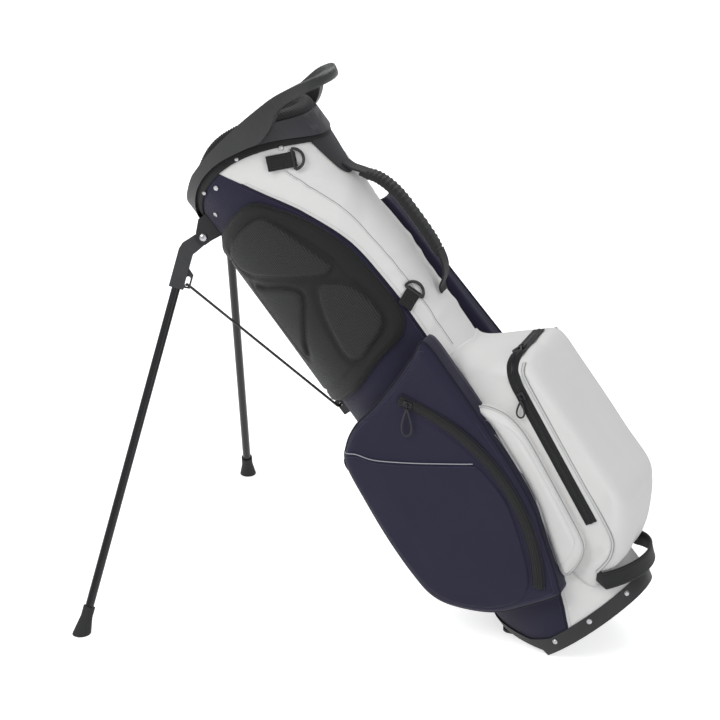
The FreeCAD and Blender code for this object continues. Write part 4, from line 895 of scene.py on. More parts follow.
def near_profile(spots, distance):
    """The face's height as a share of the pocket's depth: rounded, swollen and creased."""
    height = 0.62 + 0.38 * round_edge(distance, 15.0)
    drift = np.array([ripple(x, up) for x, up in spots])
    height += 0.02 * np.minimum(distance / 30, 1) * drift - 0.06 * (1 - np.minimum(distance / 55, 1))
    radial = np.hypot(spots[:, 0] - ZIP_X, spots[:, 1] - ZIP_UP)
    turn = np.degrees(np.abs(np.arctan2(spots[:, 1] - ZIP_UP, spots[:, 0] - ZIP_X)))
    on_zip = np.clip((ZIP_TURN + 1.0 - turn) / 2, 0, 1)
    height -= 0.07 * np.exp(-((radial - ZIP_RADIUS) / 5.5) ** 4) * on_zip
    height -= 0.03 * np.exp(-((radial - ZIP_RADIUS + 13) / 1.5) ** 2) * on_zip
    return height


FINE_RINGS = tuple(np.linspace(0.03, 0.94, 46)) + (0.955, 0.968, 0.979, 0.987, 0.994, 1.0)
garment, garment_edge = pouch("garment_pocket_body", NEAR_POCKET, near_place, near_profile, navy_cloth, 260,
                              FINE_RINGS)
ride_on(garment, "bag", "navy_fabric", "garment_pocket")
garment_piping = tube_along("garment_pocket_piping", [near_place(u, v, 0.66) for u, v in garment_edge], 0.0016,
                            dark_navy_cloth, True)
ride_on(garment_piping, "bag", "navy_fabric")


def face_line(points, count, lift=0.0):
    """A smooth line on the near pocket's face through a few places."""
    line, spots = [], np.linspace(0, len(points) - 1, count)
    keys = list(range(len(points)))
    for spot in spots:
        x = smooth_table(spot, keys, [p[0] for p in points])
        up = smooth_table(spot, keys, [p[1] for p in points])
        line.append((x, up))
    near = np.array(line)
    heights = near_profile(near, edge_distance(near, garment_edge))
    return [bag(x, -(pocket_back(x, up) + (POCKET_FACE - pocket_back(x, up)) * h + lift), up)
            for (x, up), h in zip(line, heights)]


SLIP_LIP = [(-118, 426), (-108, 424), (-88, 415), (-66, 392), (-21, 362), (26, 334), (66, 311)]
reflective = thread_material("grey_piping", linear(168, 170, 176))
ride_on(tube_along("slip_pocket_piping", face_line(SLIP_LIP[1:], 70, 1.5), 0.0008, reflective), "bag",
        "navy_fabric")
slip_outline = [(-122, 400), (-108, 421), (-88, 412), (-66, 389), (-21, 359), (26, 331), (64, 309),
                (72, 284), (72, 240), (60, 200), (44, 160), (20, 118), (-14, 104), (-60, 117),
                (-104, 150), (-124, 190), (-128, 260), (-122, 340)]


def slip_place(x, up, height):
    share = near_profile(np.array([[x, up]]), edge_distance(np.array([[x, up]]), garment_edge))[0]
    back = pocket_back(x, up)
    return bag(x, -(back + (POCKET_FACE - back) * share - 0.6 + height), up)


slip = pouch("slip_pocket_face", slip_outline, slip_place,
             lambda spots, distance: 0.9 + 1.3 * round_edge(distance, 2.5), navy_cloth, 160,
             FINE_RINGS[::2])[0]
ride_on(slip, "bag", "navy_fabric", "slip_pocket")
sew("slip_pocket_stitches", [face_line([(p[0], p[1] - 6) for p in SLIP_LIP[1:]], 90, 1.9)], navy_thread,
    "bag",
    "navy_fabric")
inner_row = [tuple(p) for p in garment_edge.mean(0) + (garment_edge - garment_edge.mean(0)) * 0.955]
sew("garment_pocket_stitches", [face_line(inner_row[:230], 300, 0.3)], navy_thread, "bag", "navy_fabric")

FAR_POCKET = [(96, 664), (80, 686), (30, 682), (-8, 668), (-30, 620), (-34, 500), (-60, 462), (-116, 430),
              (-130, 345), (-138, 277), (-140, 216), (-135, 172), (-112, 139), (-65, 104), (-14, 90),
              (41, 79), (66, 128), (88, 209), (100, 300), (100, 460)]


def far_place(x, up, height):
    back = pocket_back(x, up)
    face = 125.0 - 10.0 * min(1.0, max(0.0, (up - 420) / 120))
    return bag(x, back + (face - back) * height, up)


def far_profile(spots, distance):
    drift = np.array([ripple(x + 40, up + 90) for x, up in spots])
    return 0.6 + 0.36 * round_edge(distance, 16.0) + 0.025 * np.minimum(distance / 30, 1) * drift


apparel, apparel_edge = pouch("apparel_pocket_body", FAR_POCKET, far_place, far_profile, navy_cloth, 240,
                              FINE_RINGS[::2] + (1.0,), (-20, 330))
ride_on(apparel, "bag", "navy_fabric", "apparel_pocket")
apparel_piping = tube_along("apparel_pocket_piping", [far_place(u, v, 0.64) for u, v in apparel_edge], 0.0016,
                            dark_navy_cloth, True)
ride_on(apparel_piping, "bag", "navy_fabric")

# ---------------------------------------------------------------- ball and accessory pockets
# The ball pocket is a deep white pouch over the spine foot, shaped by a piped front panel.
# A small flat accessory pocket is sewn on the near side, between it and the navy pocket.
BALL_PROFILE = [(60, 66), (96, 60), (133, 67), (166, 95), (188, 121), (200, 146), (202, 200), (206, 270),
                (209, 350), (209, 374), (203, 390), (174, 406), (150, 435), (100, 456), (60, 468),
                (40, 300)]
BALL_HALF, BALL_ROUND = 79.6, 26.0


def settle_top(x, y, up):
    """Lays the pocket's top down on the sleeve, where it is sewn on."""
    rise = min(1.0, max(0.0, (up - 396) / 62))
    if not rise:
        return x, y
    rise = 3 * rise ** 2 - 2 * rise ** 3
    y *= 1 - 0.26 * rise
    return x + min(0.0, oval_reach(abs(y), up, 2.6) - x) * rise, y


def keep_out(x, y, up):
    """Moves a point of the ball pocket's back to just inside the sleeve's cloth."""
    if oval_half_width(x, up, -1.6) > abs(y) and x > -20:
        return max(x, oval_reach(y, up, -1.6))
    return x


ball_edge = smooth_outline(BALL_PROFILE, 220)
ball_centre = np.array((120.0, 265.0))
ball_steps = [(0.04, BALL_HALF + 1.0), (0.3, BALL_HALF + 1.4), (0.5, BALL_HALF + 1.2),
              (0.66, BALL_HALF + 0.8), (0.78, BALL_HALF + 0.3), (0.86, BALL_HALF - 0.2)]
for step in range(1, 8):
    swing = math.pi / 2 * step / 7
    ball_steps.append((0.86 + 0.14 * math.sin(swing), BALL_HALF - BALL_ROUND * (1 - math.cos(swing))))
for step in range(1, 9):
    flat_half = BALL_HALF - BALL_ROUND
    ball_steps.append((1.0 + 0.012 * math.sin(math.pi * step / 8), flat_half - flat_half * step / 8))
ball_steps += [(share, -y) for share, y in reversed(ball_steps[:-1])]
ball_points, ball_uvs, travelled = [], [], 0.0
for k, (share, y) in enumerate(ball_steps):
    if k:
        before = ball_steps[k - 1]
        travelled += math.hypot((share - before[0]) * 90, y - before[1])
    for q, (x, up) in enumerate(ball_centre + (ball_edge - ball_centre) * share):
        swell = 0.6 * ripple(x + y, up) + 0.8 * math.exp(-((up - 330) / 30) ** 2) * math.sin(y / 19)
        bulge = 1 - min(1.0, max(0.0, share - 0.6) / 0.36)
        x += swell * 0.6 if share > 0.9 and x > 140 else 0
        x, y_here = settle_top(keep_out(x, y, up), y + math.copysign(swell * bulge, y), up)
        ball_points.append(bag(x, y_here, up))
        ball_uvs.append(((q * 4.2 if share > 0.8 else x) / 1000, (travelled if share > 0.8 else up) / 1000))
BALL_RING = 220
ball_faces = grid_faces(len(ball_steps), BALL_RING, True)
ball_faces.append(tuple(range(BALL_RING)))
ball_faces.append(tuple(reversed(range((len(ball_steps) - 1) * BALL_RING, len(ball_steps) * BALL_RING))))
ball = make_mesh("ball_pocket_body", ball_points, ball_faces, white_cloth, ball_uvs)
ride_on(ball, "bag", "white_fabric", "ball_pocket")


def ball_side(x, up, lift=0.0):
    """A place on the ball pocket's near side, or over its rounded front edge."""
    gap = np.array((x, up)) - ball_centre
    rim = ball_edge - ball_centre
    along = np.arctan2(gap[1], gap[0])
    nearest = np.argmin(np.abs(np.arctan2(rim[:, 1], rim[:, 0]) - along))
    share = min(1.0, np.linalg.norm(gap) / np.linalg.norm(rim[nearest]))
    drop = 0.0
    if share > 0.86:
        drop = BALL_ROUND * (1 - math.cos(math.asin(min(1.0, (share - 0.86) / 0.14))))
    return bag(x, -(BALL_HALF + 1.2 - drop + lift), up)


def side_line(points, count, lift):
    keys, line = list(range(len(points))), []
    for spot in np.linspace(0, len(points) - 1, count):
        line.append(ball_side(smooth_table(spot, keys, [p[0] for p in points]),
                              smooth_table(spot, keys, [p[1] for p in points]), lift))
    return line


FRONT_SEAM = [(201, 387), (192, 369), (182, 304), (174, 250), (166, 194), (158, 135), (149, 101),
              (127, 81), (96, 72)]
for mirror, label in ((1, "near"), (-1, "far")):
    seam = [Vector((p.x, p.y * mirror, p.z)) for p in side_line(FRONT_SEAM, 110, 0.5)]
    piped("ball_front_piping_" + label, seam, Vector((0, -mirror, 0)))

ACCESSORY = [(104, 371), (118, 367), (130, 354), (139, 337), (143, 312), (141, 282), (133, 227),
             (124, 172), (117, 133), (107, 113), (85, 100), (60, 97), (68, 128), (83, 169), (97, 209),
             (106, 262), (111, 330)]


def accessory_place(x, up, height):
    back = max(oval_half_width(x, up, 0.5), 78.0)
    return bag(x, -(back + (104.0 - back) * height), up)


accessory, accessory_edge = pouch(
    "accessory_pocket_body", ACCESSORY, accessory_place,
    lambda spots, distance: 0.45 + 0.5 * round_edge(distance, 12.0) + 0.02 * np.sin(spots[:, 1] / 21),
    white_cloth, 160, RING_SHARES, (104, 235))
ride_on(accessory, "bag", "white_fabric", "accessory_pocket")
piped("accessory_piping", [accessory_place(u, v, 0.6) for u, v in accessory_edge], Vector((0, -1, 0)),
      0.0016, True)
sew("accessory_stitches", [[accessory_place(u, v, 0.93) for u, v in
                            accessory_edge.mean(0) + (accessory_edge - accessory_edge.mean(0)) * 0.86]],
    white_thread, "bag", "white_fabric")

# ---------------------------------------------------------------- zips
# Black nylon coil zips on woven tape, each with a die-cast slider and a moulded cord pull.
# The garment pocket's zip is an arc; the ball pocket's climbs its side and turns over the top.
tape_black = cloth("zip_tape", linear(24, 24, 25), 0.0008, 0.35, 0.1, 0.05)
coil_black = moulded("zip_coil", linear(34, 34, 35), 0.34, 0.1, 0.00002)
zip_metal = moulded("zip_slider", linear(46, 46, 48), 0.28, 0.5, 0.00002, 0.8)
pull_rubber = moulded("zip_pull", linear(34, 34, 36), 0.5, 0.2)
COIL, COIL_ROWS = (0.0019, 0.0012, 0.0009), (-0.0011, 0.0011)


def strip(name, centres, sides, normals, half_width, thickness, material, camber=0.0):
    """A flat band with rounded edges, swept along a line with its own sideways and outward ways."""
    profile = [(-1, 0.0), (-1, 0.6), (-0.93, 1.0), (-0.5, 1 + camber), (0, 1 + camber * 1.3),
               (0.5, 1 + camber),
               (0.93, 1.0), (1, 0.6), (1, 0.0)]
    points, uvs, travelled = [], [], 0.0
    for k, (centre, side, normal) in enumerate(zip(centres, sides, normals)):
        travelled += (centre - centres[k - 1]).length if k else 0
        for share, up in profile:
            points.append(centre + side * (half_width * share) + normal * (thickness * up))
            uvs.append((half_width * share, travelled))
    columns = len(profile)
    faces = grid_faces(len(centres), columns, True)
    faces += [tuple(range(columns)), tuple(reversed(range(len(points) - columns, len(points))))]
    return make_mesh(name, points, faces, material, uvs)


def bag_way(x, y, up):
    """A direction of the bag's frame, turned to the floor's."""
    return (bag(x, y, up) - bag(0, 0, 0)).normalized()


arc_centres, arc_sides, arc_normals, arc_spots = [], [], [], []
for step in range(100):
    turn = math.radians(-ZIP_TURN + 2 * ZIP_TURN * step / 99)
    arc_spots.append((ZIP_X + ZIP_RADIUS * math.cos(turn), ZIP_UP + ZIP_RADIUS * math.sin(turn)))
    arc_centres.append(bag(arc_spots[-1][0], -POCKET_FACE + 1.0, arc_spots[-1][1]))
    arc_sides.append(bag_way(math.cos(turn), 0, math.sin(turn)))
    arc_normals.append(Vector((0, -1, 0)))
garment_tape = strip("garment_zip_tape", arc_centres, arc_sides, arc_normals, 0.0074, 0.0034, tape_black)
ride_on(garment_tape, "bag", "black_webbing", "garment_zip_track")


def offset_line(centres, sides, normals, shift, lift):
    return [c + s * shift + n * lift for c, s, n in zip(centres, sides, normals)]


arc_rows = [offset_line(arc_centres, arc_sides, arc_normals, shift, 0.0035) for shift in COIL_ROWS]
sew("garment_zip_coil", arc_rows, coil_black, "bag", "zip_metal", *COIL)
for edge, shift in (("inner", -0.0084), ("outer", 0.0084)):
    ride_on(tube_along("garment_zip_lip_" + edge,
                       offset_line(arc_centres, arc_sides, arc_normals, shift, 0.0008), 0.0015,
                       dark_navy_cloth), "bag", "navy_fabric")

ZIP_LOW, ZIP_HIGH, SIDE_FACE = (140.0, 140.0), (174.0, 362.0), -81.2
top_normal = bag_way(math.sin(math.atan2(16, 32)), 0, math.cos(math.atan2(16, 32)))
corner_points = [((174, -81.2, 362), 0.0), ((177, -80.6, 374), 0.12), ((181, -77, 386), 0.4),
                 ((185, -69, 395), 0.75), ((188.5, -57, 399.5), 0.95), ((190, -44, 400.4), 1.0)]
climb_centres = []
for k in range(40):
    x = ZIP_LOW[0] + (ZIP_HIGH[0] - ZIP_LOW[0]) * k / 40
    climb_centres.append(bag(x, SIDE_FACE, ZIP_LOW[1] + (ZIP_HIGH[1] - ZIP_LOW[1]) * k / 40))
climb_normals = [Vector((0, -1, 0))] * 40
corner_keys = list(range(len(corner_points)))
for spot in np.linspace(0, len(corner_points) - 1, 26):
    place = [smooth_table(spot, corner_keys, [p[0][k] for p in corner_points]) for k in range(3)]
    climb_centres.append(bag(*place))
    turned = np.interp(spot, corner_keys, [p[1] for p in corner_points])
    climb_normals.append((Vector((0, -1, 0)) * (1 - turned) + top_normal * turned).normalized())
for k in range(1, 23):
    climb_centres.append(bag(190, -44 + 4 * k, 400.4))
    climb_normals.append(top_normal)
climb_sides = []
for k, normal in enumerate(climb_normals):
    way = climb_centres[min(k + 1, len(climb_centres) - 1)] - climb_centres[max(k - 1, 0)]
    climb_sides.append(way.normalized().cross(normal).normalized())
ball_tape = strip("ball_zip_tape", climb_centres, climb_sides, climb_normals, 0.0092, 0.0013, tape_black)
ride_on(ball_tape, "bag", "black_webbing", "ball_zip_track")
climb_rows = [offset_line(climb_centres, climb_sides, climb_normals, shift, 0.0014) for shift in COIL_ROWS]
sew("ball_zip_coil", climb_rows, coil_black, "bag", "zip_metal", *COIL)

for label, body in (("garment_zip", "garment_slider"), ("ball_zip", "side_slider"),
                    ("top_zip", "top_slider")):
    smooth_copy(label + "_slider", body, zip_metal)


def cord_pull(node, body, pin, down, across, length, spread):
    """A wire stirrup through the slider's bridge, and a moulded loop that hangs from it."""
    wire, half = [], 0.0038
    for x, z in ((-1, 0), (1, 0), (1, -0.006), (0.6, -0.0078), (-0.6, -0.0078), (-1, -0.006)):
        wire.append(pin + across * (half * x) - down * z)
    stirrup = tube_along(node + "_stirrup", wire, 0.0006, zip_metal, True, 6)
    ride_on(stirrup, body, "zip_metal")
    loop = []
    for k in range(40):
        turn = 2 * math.pi * k / 40
        reach = 0.5 - 0.5 * math.cos(turn)
        width = spread * math.sin(turn) * (0.28 + 0.95 * reach)
        loop.append(pin + across * width + down * (0.0068 + (length - 0.0086) * reach))
    pull = tube_along(node + "_loop", loop, 0.0015, pull_rubber, True, 10, 0.8)
    ride_on(pull, body, "pull_cord", node)


pin_turn = math.radians(ZIP_TURN - 3)
cord_pull("garment_zip_pull", "garment_pull", bag(ZIP_X + ZIP_RADIUS * math.cos(pin_turn), -132.8,
                                                  ZIP_UP + ZIP_RADIUS * math.sin(pin_turn)),
          Vector((0, 0, -1)), Vector((1, 0, 0)), 0.05, 0.0088)
cord_pull("ball_zip_pull", "side_pull", bag(172.2, -86.8, 350.1), Vector((0, 0, -1)), Vector((1, 0, 0)),
          0.034, 0.0066)
top_pin = bag(190, -30, 400) + top_normal * 0.006
cord_pull("top_zip_pull", "top_pull", top_pin, Vector((0, -1, 0)), top_normal.cross(Vector((0, -1, 0))),
          0.03, 0.0062)

# ---------------------------------------------------------------- collar and throat
# A glass-filled nylon collar in one piece: a hood round the leg side that sweeps up and over the
# mouth as the lifting handle. A nylon band and a ribbed padded rim close the throat below it.
collar_grey = moulded("collar_moulding", linear(40, 40, 41), 0.42, 0.25, 0.00012)
band_grey = moulded("throat_band_moulding", linear(51, 49, 54), 0.48, 0.2, 0.0001)
RIM_PLACES = (-123, -109, -93, -77, -60, -44, -28, 3, 36, 66, 92, 120)
RIM_TOPS = (856, 872, 882, 889, 894, 897, 897, 897, 897, 898, 898, 898)
RIM_DROPS = (12, 18, 20, 20, 18, 15, 12, 6, 2, 0, 0, 0)
BAR_PLACES = (60, 92, 116, 150, 168, 176)
BAR_LIFTS, BAR_SAGS = (0, 2, 4, 3, 0, -3), (0, 1, 3, 4, 6, 8)


def settle(piece, is_collar=False):
    """Slopes the mouth's rim down to the leg side, and draws the handle bar out and up."""
    for vertex in piece.data.vertices:
        east, up = vertex.co.x * 1000 - PLATE_MIDDLE, vertex.co.z * 1000
        x = east * math.cos(LEAN) + up * math.sin(LEAN) - HEEL
        z = up * math.cos(LEAN) - east * math.sin(LEAN)
        foot = collar_height(x)
        share = min(1.15, max(0.0, (z - foot) / (np.interp(x, RIM_PLACES, RIM_TOPS) - foot)))
        lowered, drawn = -share * np.interp(x, RIM_PLACES, RIM_DROPS), 0.0
        if is_collar and x > 30:
            part = min(1.0, (x - 30) / 48)
            drawn = 12.5 * (3 * part ** 2 - 2 * part ** 3)
            height = min(1.0, max(0.0, (z - 884) / 12)) if x > 112 else share
            lift, sag = np.interp(x, BAR_PLACES, BAR_LIFTS), np.interp(x, BAR_PLACES, BAR_SAGS)
            lowered += height * lift - (1 - height) * sag
        vertex.co = bag(x + drawn, vertex.co.y * 1000, z + lowered)
    return piece


settle(smooth_copy("collar_handle", "bag", collar_grey, 28), True)
settle(smooth_copy("throat_band", "bag", band_grey, 40))
smooth_copy("collar_rivets", "bag", rivet_steel, 50)


def dome(name, centre, outward, radius, height):
    """A low round rivet head with a crossed slot pressed into it."""
    across = outward.cross(Vector((0, 0, 1))).normalized()
    along = across.cross(outward)
    rings, sides = (0.25, 0.5, 0.7, 0.85, 0.95, 1.0, 1.0), 28
    points = [centre + outward * height]
    for k, share in enumerate(rings):
        for s in range(sides):
            turn = 2 * math.pi * s / sides
            rise = height * math.sqrt(max(0.0, 1 - share ** 2)) if k < len(rings) - 1 else -height * 0.6
            if k in (1, 2) and abs(math.sin(turn * 2)) < 0.3:
                rise -= height * 0.4
            points.append(centre + (across * math.cos(turn) + along * math.sin(turn)) * (radius * share)
                          + outward * rise)
    faces = [(0, 1 + s, 1 + (s + 1) % sides) for s in range(sides)]
    for k in range(len(rings) - 1):
        a, b = 1 + k * sides, 1 + (k + 1) * sides
        faces += [(a + s, b + s, b + (s + 1) % sides, a + (s + 1) % sides) for s in range(sides)]
    faces.append(tuple(1 + (len(rings) - 1) * sides + s for s in range(sides)))
    return make_mesh(name, points, faces, rivet_steel)


# Rivets through the navy cloth, which hold the trunk's stays below the collar.
for side_name, mirror in (("near", 1), ("far", -1)):
    for label, length, up in (("upper", 29, 846.0), ("lower", 70, 816.0)):
        x, y, nx, ny = walk(length, up, 0.2)
        spot, way = bag(x, y * mirror, up), bag_way(nx, ny * mirror, 0)
        ride_on(dome(side_name + "_stay_rivet_" + label, spot, way, 0.0042, 0.0016), "bag", "steel")


def oval_ring(depth, width, middle, count):
    """Points and outward ways round a four-arc oval, in even steps."""
    end, reach, side, drop, turn = oval_arcs(depth, width)
    flat, cap = side * (math.pi - 2 * turn), end * 2 * turn
    ring = []
    for k in range(count):
        travel = 2 * (flat + cap) * k / count
        mirrored = travel >= flat + cap
        travel -= (flat + cap) * mirrored
        if travel < flat:
            angle = turn + travel / side
            x, y = side * math.cos(angle), side * math.sin(angle) - drop
        else:
            angle = math.pi - turn + (travel - flat) / end
            x, y = end * math.cos(angle) - reach, end * math.sin(angle)
        sign = -1 if mirrored else 1
        ring.append((sign * x + middle, sign * y, sign * math.cos(angle), sign * math.sin(angle)))
    return ring


def ring_faces(steps, sides):
    """Faces of a closed ring of closed sections, joined round to its start."""
    last = (steps - 1) * sides
    faces = grid_faces(steps, sides, True)
    return faces + [(last + s, last + (s + 1) % sides, (s + 1) % sides, s) for s in range(sides)]


rim_points, rim_uvs, RIM_STEPS, RIM_SIDES = [], [], 620, 16
for k, (x, y, nx, ny) in enumerate(oval_ring(113, 92, 4, RIM_STEPS)):
    rib = 0.55 * math.cos(2 * math.pi * k / RIM_STEPS * 155)
    for s in range(RIM_SIDES):
        turn = 2 * math.pi * s / RIM_SIDES
        swell = 1 if math.sin(turn) > -0.3 else 0
        out = (7.4 + rib * swell) * math.copysign(abs(math.cos(turn)) ** 0.7, math.cos(turn))
        lift = (7.2 + rib * swell) * math.copysign(abs(math.sin(turn)) ** 0.8, math.sin(turn))
        here = x + nx * out
        tuck = 8 * min(1.0, max(0.0, (20 - x) / 100))
        rim_points.append(bag(here, y + ny * out, saddle_height(here, 196, 698, 6) + 5.6 - tuck + lift))
        rim_uvs.append((s * 0.003, k * 0.0011))
rim_black = cloth("throat_tricot", linear(32, 32, 33), 0.0012, 0.4, 0.2, 0.15)
padding = make_mesh("throat_rim", rim_points, ring_faces(RIM_STEPS, RIM_SIDES), rim_black, rim_uvs)
settle(ride_on(padding, "bag", "black_padding", "throat_padding"))

webbing_black = cloth("black_webbing", linear(27, 27, 28), 0.0021, 0.5, 0.2, 0.1, 0.0003)
skirt_points, skirt_uvs = [], []
SKIRT = [(-12.0, 0.2), (-12.2, 1.6), (-11.5, 2.3), (-6, 2.5), (2.6, 2.4), (3.2, 1.6), (3.2, 0.2)]
SKIRT_STEPS = 200
for k in range(SKIRT_STEPS):
    for drop, out in SKIRT:
        up = 800.0
        for _ in range(8):
            length = around(up) * k / SKIRT_STEPS
            x, y, nx, ny = walk(length, up, out)
            up = collar_height(x, drop)
        skirt_points.append(bag(x, y, up))
        skirt_uvs.append((drop / 1000, length / 1000))
skirt = make_mesh("collar_webbing", skirt_points, ring_faces(SKIRT_STEPS, len(SKIRT)), webbing_black,
                  skirt_uvs)
ride_on(skirt, "bag", "black_webbing", "collar_skirt")
skirt_line = []
for k in range(SKIRT_STEPS):
    up = 800.0
    for _ in range(8):
        x, y, nx, ny = walk(around(up) * k / SKIRT_STEPS, up, 2.7)
        up = collar_height(x, -9.6)
    skirt_line.append(bag(x, y, up))
sew("collar_stitches", [skirt_line + skirt_line[:1]], black_thread, "bag", "black_webbing")

fleece = cloth("divider_fleece", linear(30, 30, 31), 0.003, 0.3, 0.4, 0.2, 0.0005, "Object")
settle(smooth_copy("divider_frame", "bag", fleece, 32))
settle(smooth_copy("divider_sheet", "bag", fleece, 32))
stay_resin = moulded("stay_resin", linear(92, 88, 78), 0.45, 0.2)
for label in ("spine", "near", "far"):
    smooth_copy("stay_" + label, "bag", stay_resin)

# ---------------------------------------------------------------- spine patch, grip and straps
# A black patch covers the grip's upper anchor. The grip is ribbed foam in a bound cover, sewn to
# webbing at both ends; a webbing loop at the foot lifts the bag, and tabs hold the two D-rings.
patch_black = cloth("patch_fabric", linear(44, 44, 47), 0.0016, 0.3, 0.15, 0.1)
patch_outline = [(-37, 846), (-34, 820), (-29, 798), (-20, 768), (-11, 753), (0, 749), (11, 753),
                 (20, 768), (29, 798), (34, 820), (37, 846), (18, 847), (0, 847), (-18, 847)]


def on_patch(across, up, height):
    up = min(up, collar_height(114, -12.6))
    x, y, nx, ny = walk(-around(up) / 4 + across, up, 0.7 + height)
    return bag(x, y, up)


patch, patch_edge = pouch("spine_patch_cover", patch_outline, on_patch,
                          lambda spots, distance: 0.5 + 1.2 * round_edge(distance, 3.0), patch_black, 120)
ride_on(patch, "bag", "black_webbing", "spine_patch")
inset = patch_edge.mean(0) + (patch_edge - patch_edge.mean(0)) * 0.9
sew("patch_stitches", [[on_patch(u, v, 1.9) for u, v in inset if v < 826]], black_thread, "bag",
    "black_webbing")


def side_curve(points, count):
    """A smooth curve seen from the side, with the way out of the bag at each place."""
    keys, spots = list(range(len(points))), []
    for spot in np.linspace(0, len(points) - 1, count):
        x, up = (smooth_table(spot, keys, [p[k] for p in points]) for k in (0, 1))
        spots.append((x, up))
    curve = []
    for k, (x, up) in enumerate(spots):
        (x1, up1), (x2, up2) = spots[max(0, k - 1)], spots[min(len(spots) - 1, k + 1)]
        tilt = math.atan2(up2 - up1, x2 - x1)
        out = (math.sin(tilt), -math.cos(tilt))
        out = out if out[0] > 0 else (-out[0], -out[1])
        curve.append((x, up) + out)
    return curve


GRIP = [(137, 744), (155, 722), (165.5, 690), (167.5, 650), (166.5, 606), (162.5, 577)]
grip_rows, grip_uvs, GRIP_COUNT, GRIP_SIDES = [], [], 170, 28
for k, (x, up, out_x, out_up) in enumerate(side_curve(GRIP, GRIP_COUNT)):
    share = k / (GRIP_COUNT - 1)
    taper = min(1.0, 0.45 + 5.5 * share, 0.45 + 5.5 * (1 - share))
    rib = 0.7 * math.cos(2 * math.pi * share * 23) * min(1.0, 12 * share, 12 * (1 - share))
    for s in range(GRIP_SIDES):
        turn = 2 * math.pi * s / GRIP_SIDES
        across = 13.4 * math.copysign(abs(math.cos(turn)) ** 0.55, math.cos(turn)) * (0.8 + 0.2 * taper)
        depth = 5.7 * math.copysign(abs(math.sin(turn)) ** 0.7, math.sin(turn)) * taper
        edge = 1.0 if abs(math.cos(turn)) < 0.93 else 0.2
        binding = 0.8 * math.exp(-((abs(across) - 10.2) / 0.8) ** 2)
        depth += rib * edge * (1 if math.sin(turn) > 0 else 0.4) - binding
        depth -= 6.2
        grip_rows.append(bag(x + out_x * depth, across, up + out_up * depth))
        grip_uvs.append((s * 0.0026, share * 0.19))
grip_rubber = cloth("grip_cover", linear(30, 30, 31), 0.0014, 0.3, 0.15, 0.1)
grip = make_mesh("grip_cover", grip_rows, grid_faces(GRIP_COUNT, GRIP_SIDES, True) + [
    tuple(range(GRIP_SIDES)), tuple(reversed(range((GRIP_COUNT - 1) * GRIP_SIDES, GRIP_COUNT * GRIP_SIDES)))],
    grip_rubber, grip_uvs)
ride_on(grip, "bag", "black_padding", "carry_grip")


def side_strap(name, points, half_width, thickness, material, middle=0.0):
    curve = side_curve(points, 40)
    centres = [bag(x, middle, up) for x, up, a, b in curve]
    sides = [Vector((0, 1, 0))] * len(curve)
    normals = [bag_way(a, 0, b) for x, up, a, b in curve]
    return strip(name, centres, sides, normals, half_width, thickness, material), centres, normals


upper_web, upper_centres, upper_normals = side_strap(
    "grip_webbing_upper", [(119.6, 766), (125.0, 754), (134.5, 742), (141, 733)], 0.0122, 0.0018,
    webbing_black)
lower_web, lower_centres, lower_normals = side_strap(
    "grip_webbing_lower", [(160, 583), (154, 564), (143, 549), (129, 540), (124.8, 530)], 0.0122, 0.0018,
    webbing_black)
ride_on(upper_web, "bag", "black_webbing", "grip_webbing")
ride_on(lower_web, "bag", "black_webbing")
for label, centres, normals in (("upper", upper_centres, upper_normals),
                                ("lower", lower_centres, lower_normals)):
    sides = [Vector((0, 1, 0))] * len(centres)
    rows = [offset_line(centres, sides, normals, shift, 0.002) for shift in (-0.0098, 0.0098)]
    sew("grip_stitches_" + label, rows, black_thread, "bag", "black_webbing")

CHORD, STRAP_REACH, STRAP_TILT = 84.0, 66.0, math.atan2(32, 66)
strap_radius = (CHORD ** 2 + STRAP_REACH ** 2) / (2 * STRAP_REACH)
strap_half_turn = math.asin(CHORD / strap_radius) if STRAP_REACH < strap_radius else math.pi / 2
strap_centres, strap_sides, strap_normals = [], [], []
strap_side = bag_way(math.sin(STRAP_TILT), 0, math.cos(STRAP_TILT))
for k in range(90):
    turn = -strap_half_turn + 2 * strap_half_turn * k / 89
    sag = 1.2 * math.sin(3 * turn)
    radius = strap_radius - 3.0 + sag * 0.3
    out = STRAP_REACH - strap_radius + radius * math.cos(turn)
    tucked = max(0.0, (abs(turn) / strap_half_turn - 0.84) / 0.16)
    strap_centres.append(bag(82 + out * math.cos(STRAP_TILT) + 7 * tucked,
                             radius * math.sin(turn) * (1 - 0.15 * tucked),
                             62 - out * math.sin(STRAP_TILT) + 12 * tucked))
    strap_sides.append(strap_side)
    strap_normals.append(bag_way(math.cos(turn) * math.cos(STRAP_TILT), math.sin(turn),
                                 -math.cos(turn) * math.sin(STRAP_TILT)))
trunk_strap = strip("trunk_strap_webbing", strap_centres, strap_sides, strap_normals, 0.0136, 0.0024,
                    webbing_black)
ride_on(trunk_strap, "bag", "black_webbing", "trunk_strap")
strap_rows = [offset_line(strap_centres, strap_sides, strap_normals, shift, 0.0026)
              for shift in (-0.0112, 0.0112)]
sew("trunk_strap_stitches", strap_rows, black_thread, "bag", "black_webbing")

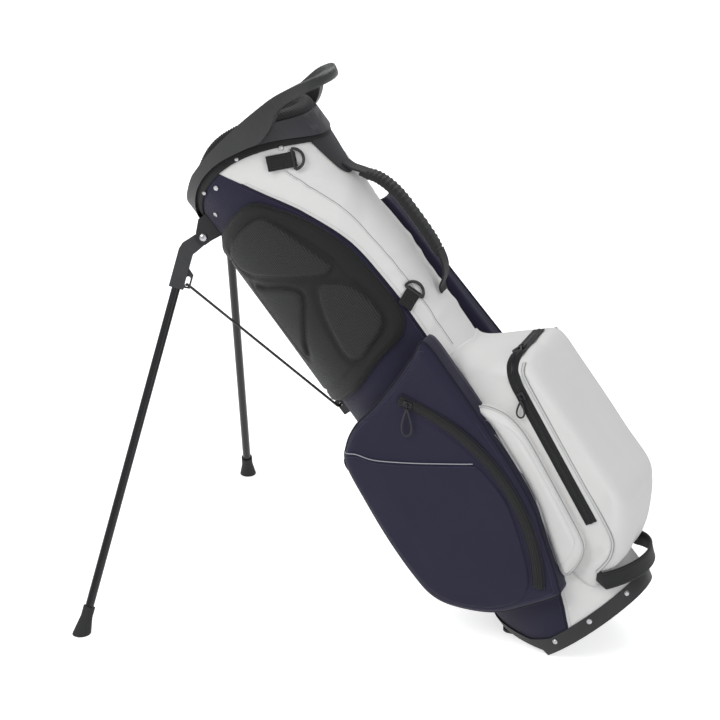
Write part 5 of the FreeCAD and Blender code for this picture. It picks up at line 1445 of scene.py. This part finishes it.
ring_plastic = moulded("ring_plastic", linear(28, 28, 29), 0.34, 0.3, 0.00003)
RING_LIFT, FOLD_RADIUS = 4.8, 0.0024
for label, x, up, spin, length in (("upper", 88, 813, 25, 36.0), ("lower", 107, 557, -20, 24.0)):
    smooth_copy(label + "_d_ring", label + "_ring", ring_plastic, 60)
    spot = bag(x, -oval_half_width(x, up), up)
    across = (bag(x + 4, -oval_half_width(x + 4, up), up) - spot).normalized()
    inward = bag_way(0, 0, 1).cross(across).normalized()
    inward = inward if inward.y > 0 else -inward
    across = Matrix.Rotation(math.radians(spin), 3, inward) @ across
    wide = across.cross(inward).normalized()
    start = spot - inward * (RING_LIFT / 1000)
    centres, normals = [], []
    for k in range(24):
        along = (length + 2.6) * (1 - k / 23) / 1000
        rise = 2.3 * max(0.0, 1 - along * 1000 / 9) ** 0.7
        centres.append(start - across * along + inward * ((RING_LIFT - 0.9 - rise) / 1000))
        normals.append(-inward)
    for k in range(1, 15):
        turn = math.pi * k / 14
        centres.append(start + (across * math.sin(turn) + inward * math.cos(turn)) * FOLD_RADIUS)
        normals.append((across * math.sin(turn) - inward * math.cos(turn)).normalized())
    sides = [wide] * len(centres)
    tab = strip(label + "_tab_webbing", centres, sides, normals, 0.0113, 0.0018, webbing_black)
    ride_on(tab, "bag", "black_webbing", label + "_ring_tab")
    box_line = [start - across * a + wide * b + inward * 0.0012 for a, b in (
        (0.012, 0.008), (length / 1000 - 0.001, 0.008), (length / 1000 - 0.001, -0.008), (0.012, -0.008),
        (0.012, 0.008))]
    sew(label + "_tab_stitches", [box_line], black_thread, "bag", "black_webbing")

# ---------------------------------------------------------------- legs and stand linkage
# Each leg hangs from a bracket on a steel bolt. A cranked nylon yoke holds the aluminium tube,
# and a bent spring wire ties it to the block and rod that the folding ground plate drives.
yoke_grey = moulded("yoke_moulding", linear(44, 44, 46), 0.44, 0.3, 0.0001)
leg_black = moulded("leg_anodised", linear(26, 26, 28), 0.26, 0.15, 0.00001, 0.35)
foot_rubber = moulded("foot_rubber", linear(30, 30, 31), 0.7, 0.5, 0.00015)
wire_black = moulded("wire_coating", linear(24, 24, 25), 0.34, 0.2, 0.00001)
for side in ("near", "far"):
    smooth_copy(side + "_leg_bracket", "bag", base_black, 32, 0.0005)
    smooth_copy(side + "_pivot_bolt", "bag", rivet_steel, 40)
    smooth_copy(side + "_leg_yoke", side + "_leg", yoke_grey, 32, 0.0006)
    smooth_copy(side + "_leg_tube", side + "_leg", leg_black, 40)
    smooth_copy(side + "_foot", side + "_leg", foot_rubber, 40)
    smooth_copy(side + "_spreader_wire", side + "_wire", wire_black, 50)
smooth_copy("sliding_block", "slider", base_black, 32, 0.0004)
smooth_copy("push_rod", "slider", wire_black, 50)
smooth_copy("rod_guides", "bag", base_black, 32, 0.0004)
plate_black = moulded("plate_moulding", linear(34, 34, 36), 0.5, 0.6, 0.00012)
smooth_copy("ground_plate", "plate", plate_black, 32)
smooth_copy("plate_hinge_pin", "bag", rivet_steel, 40)
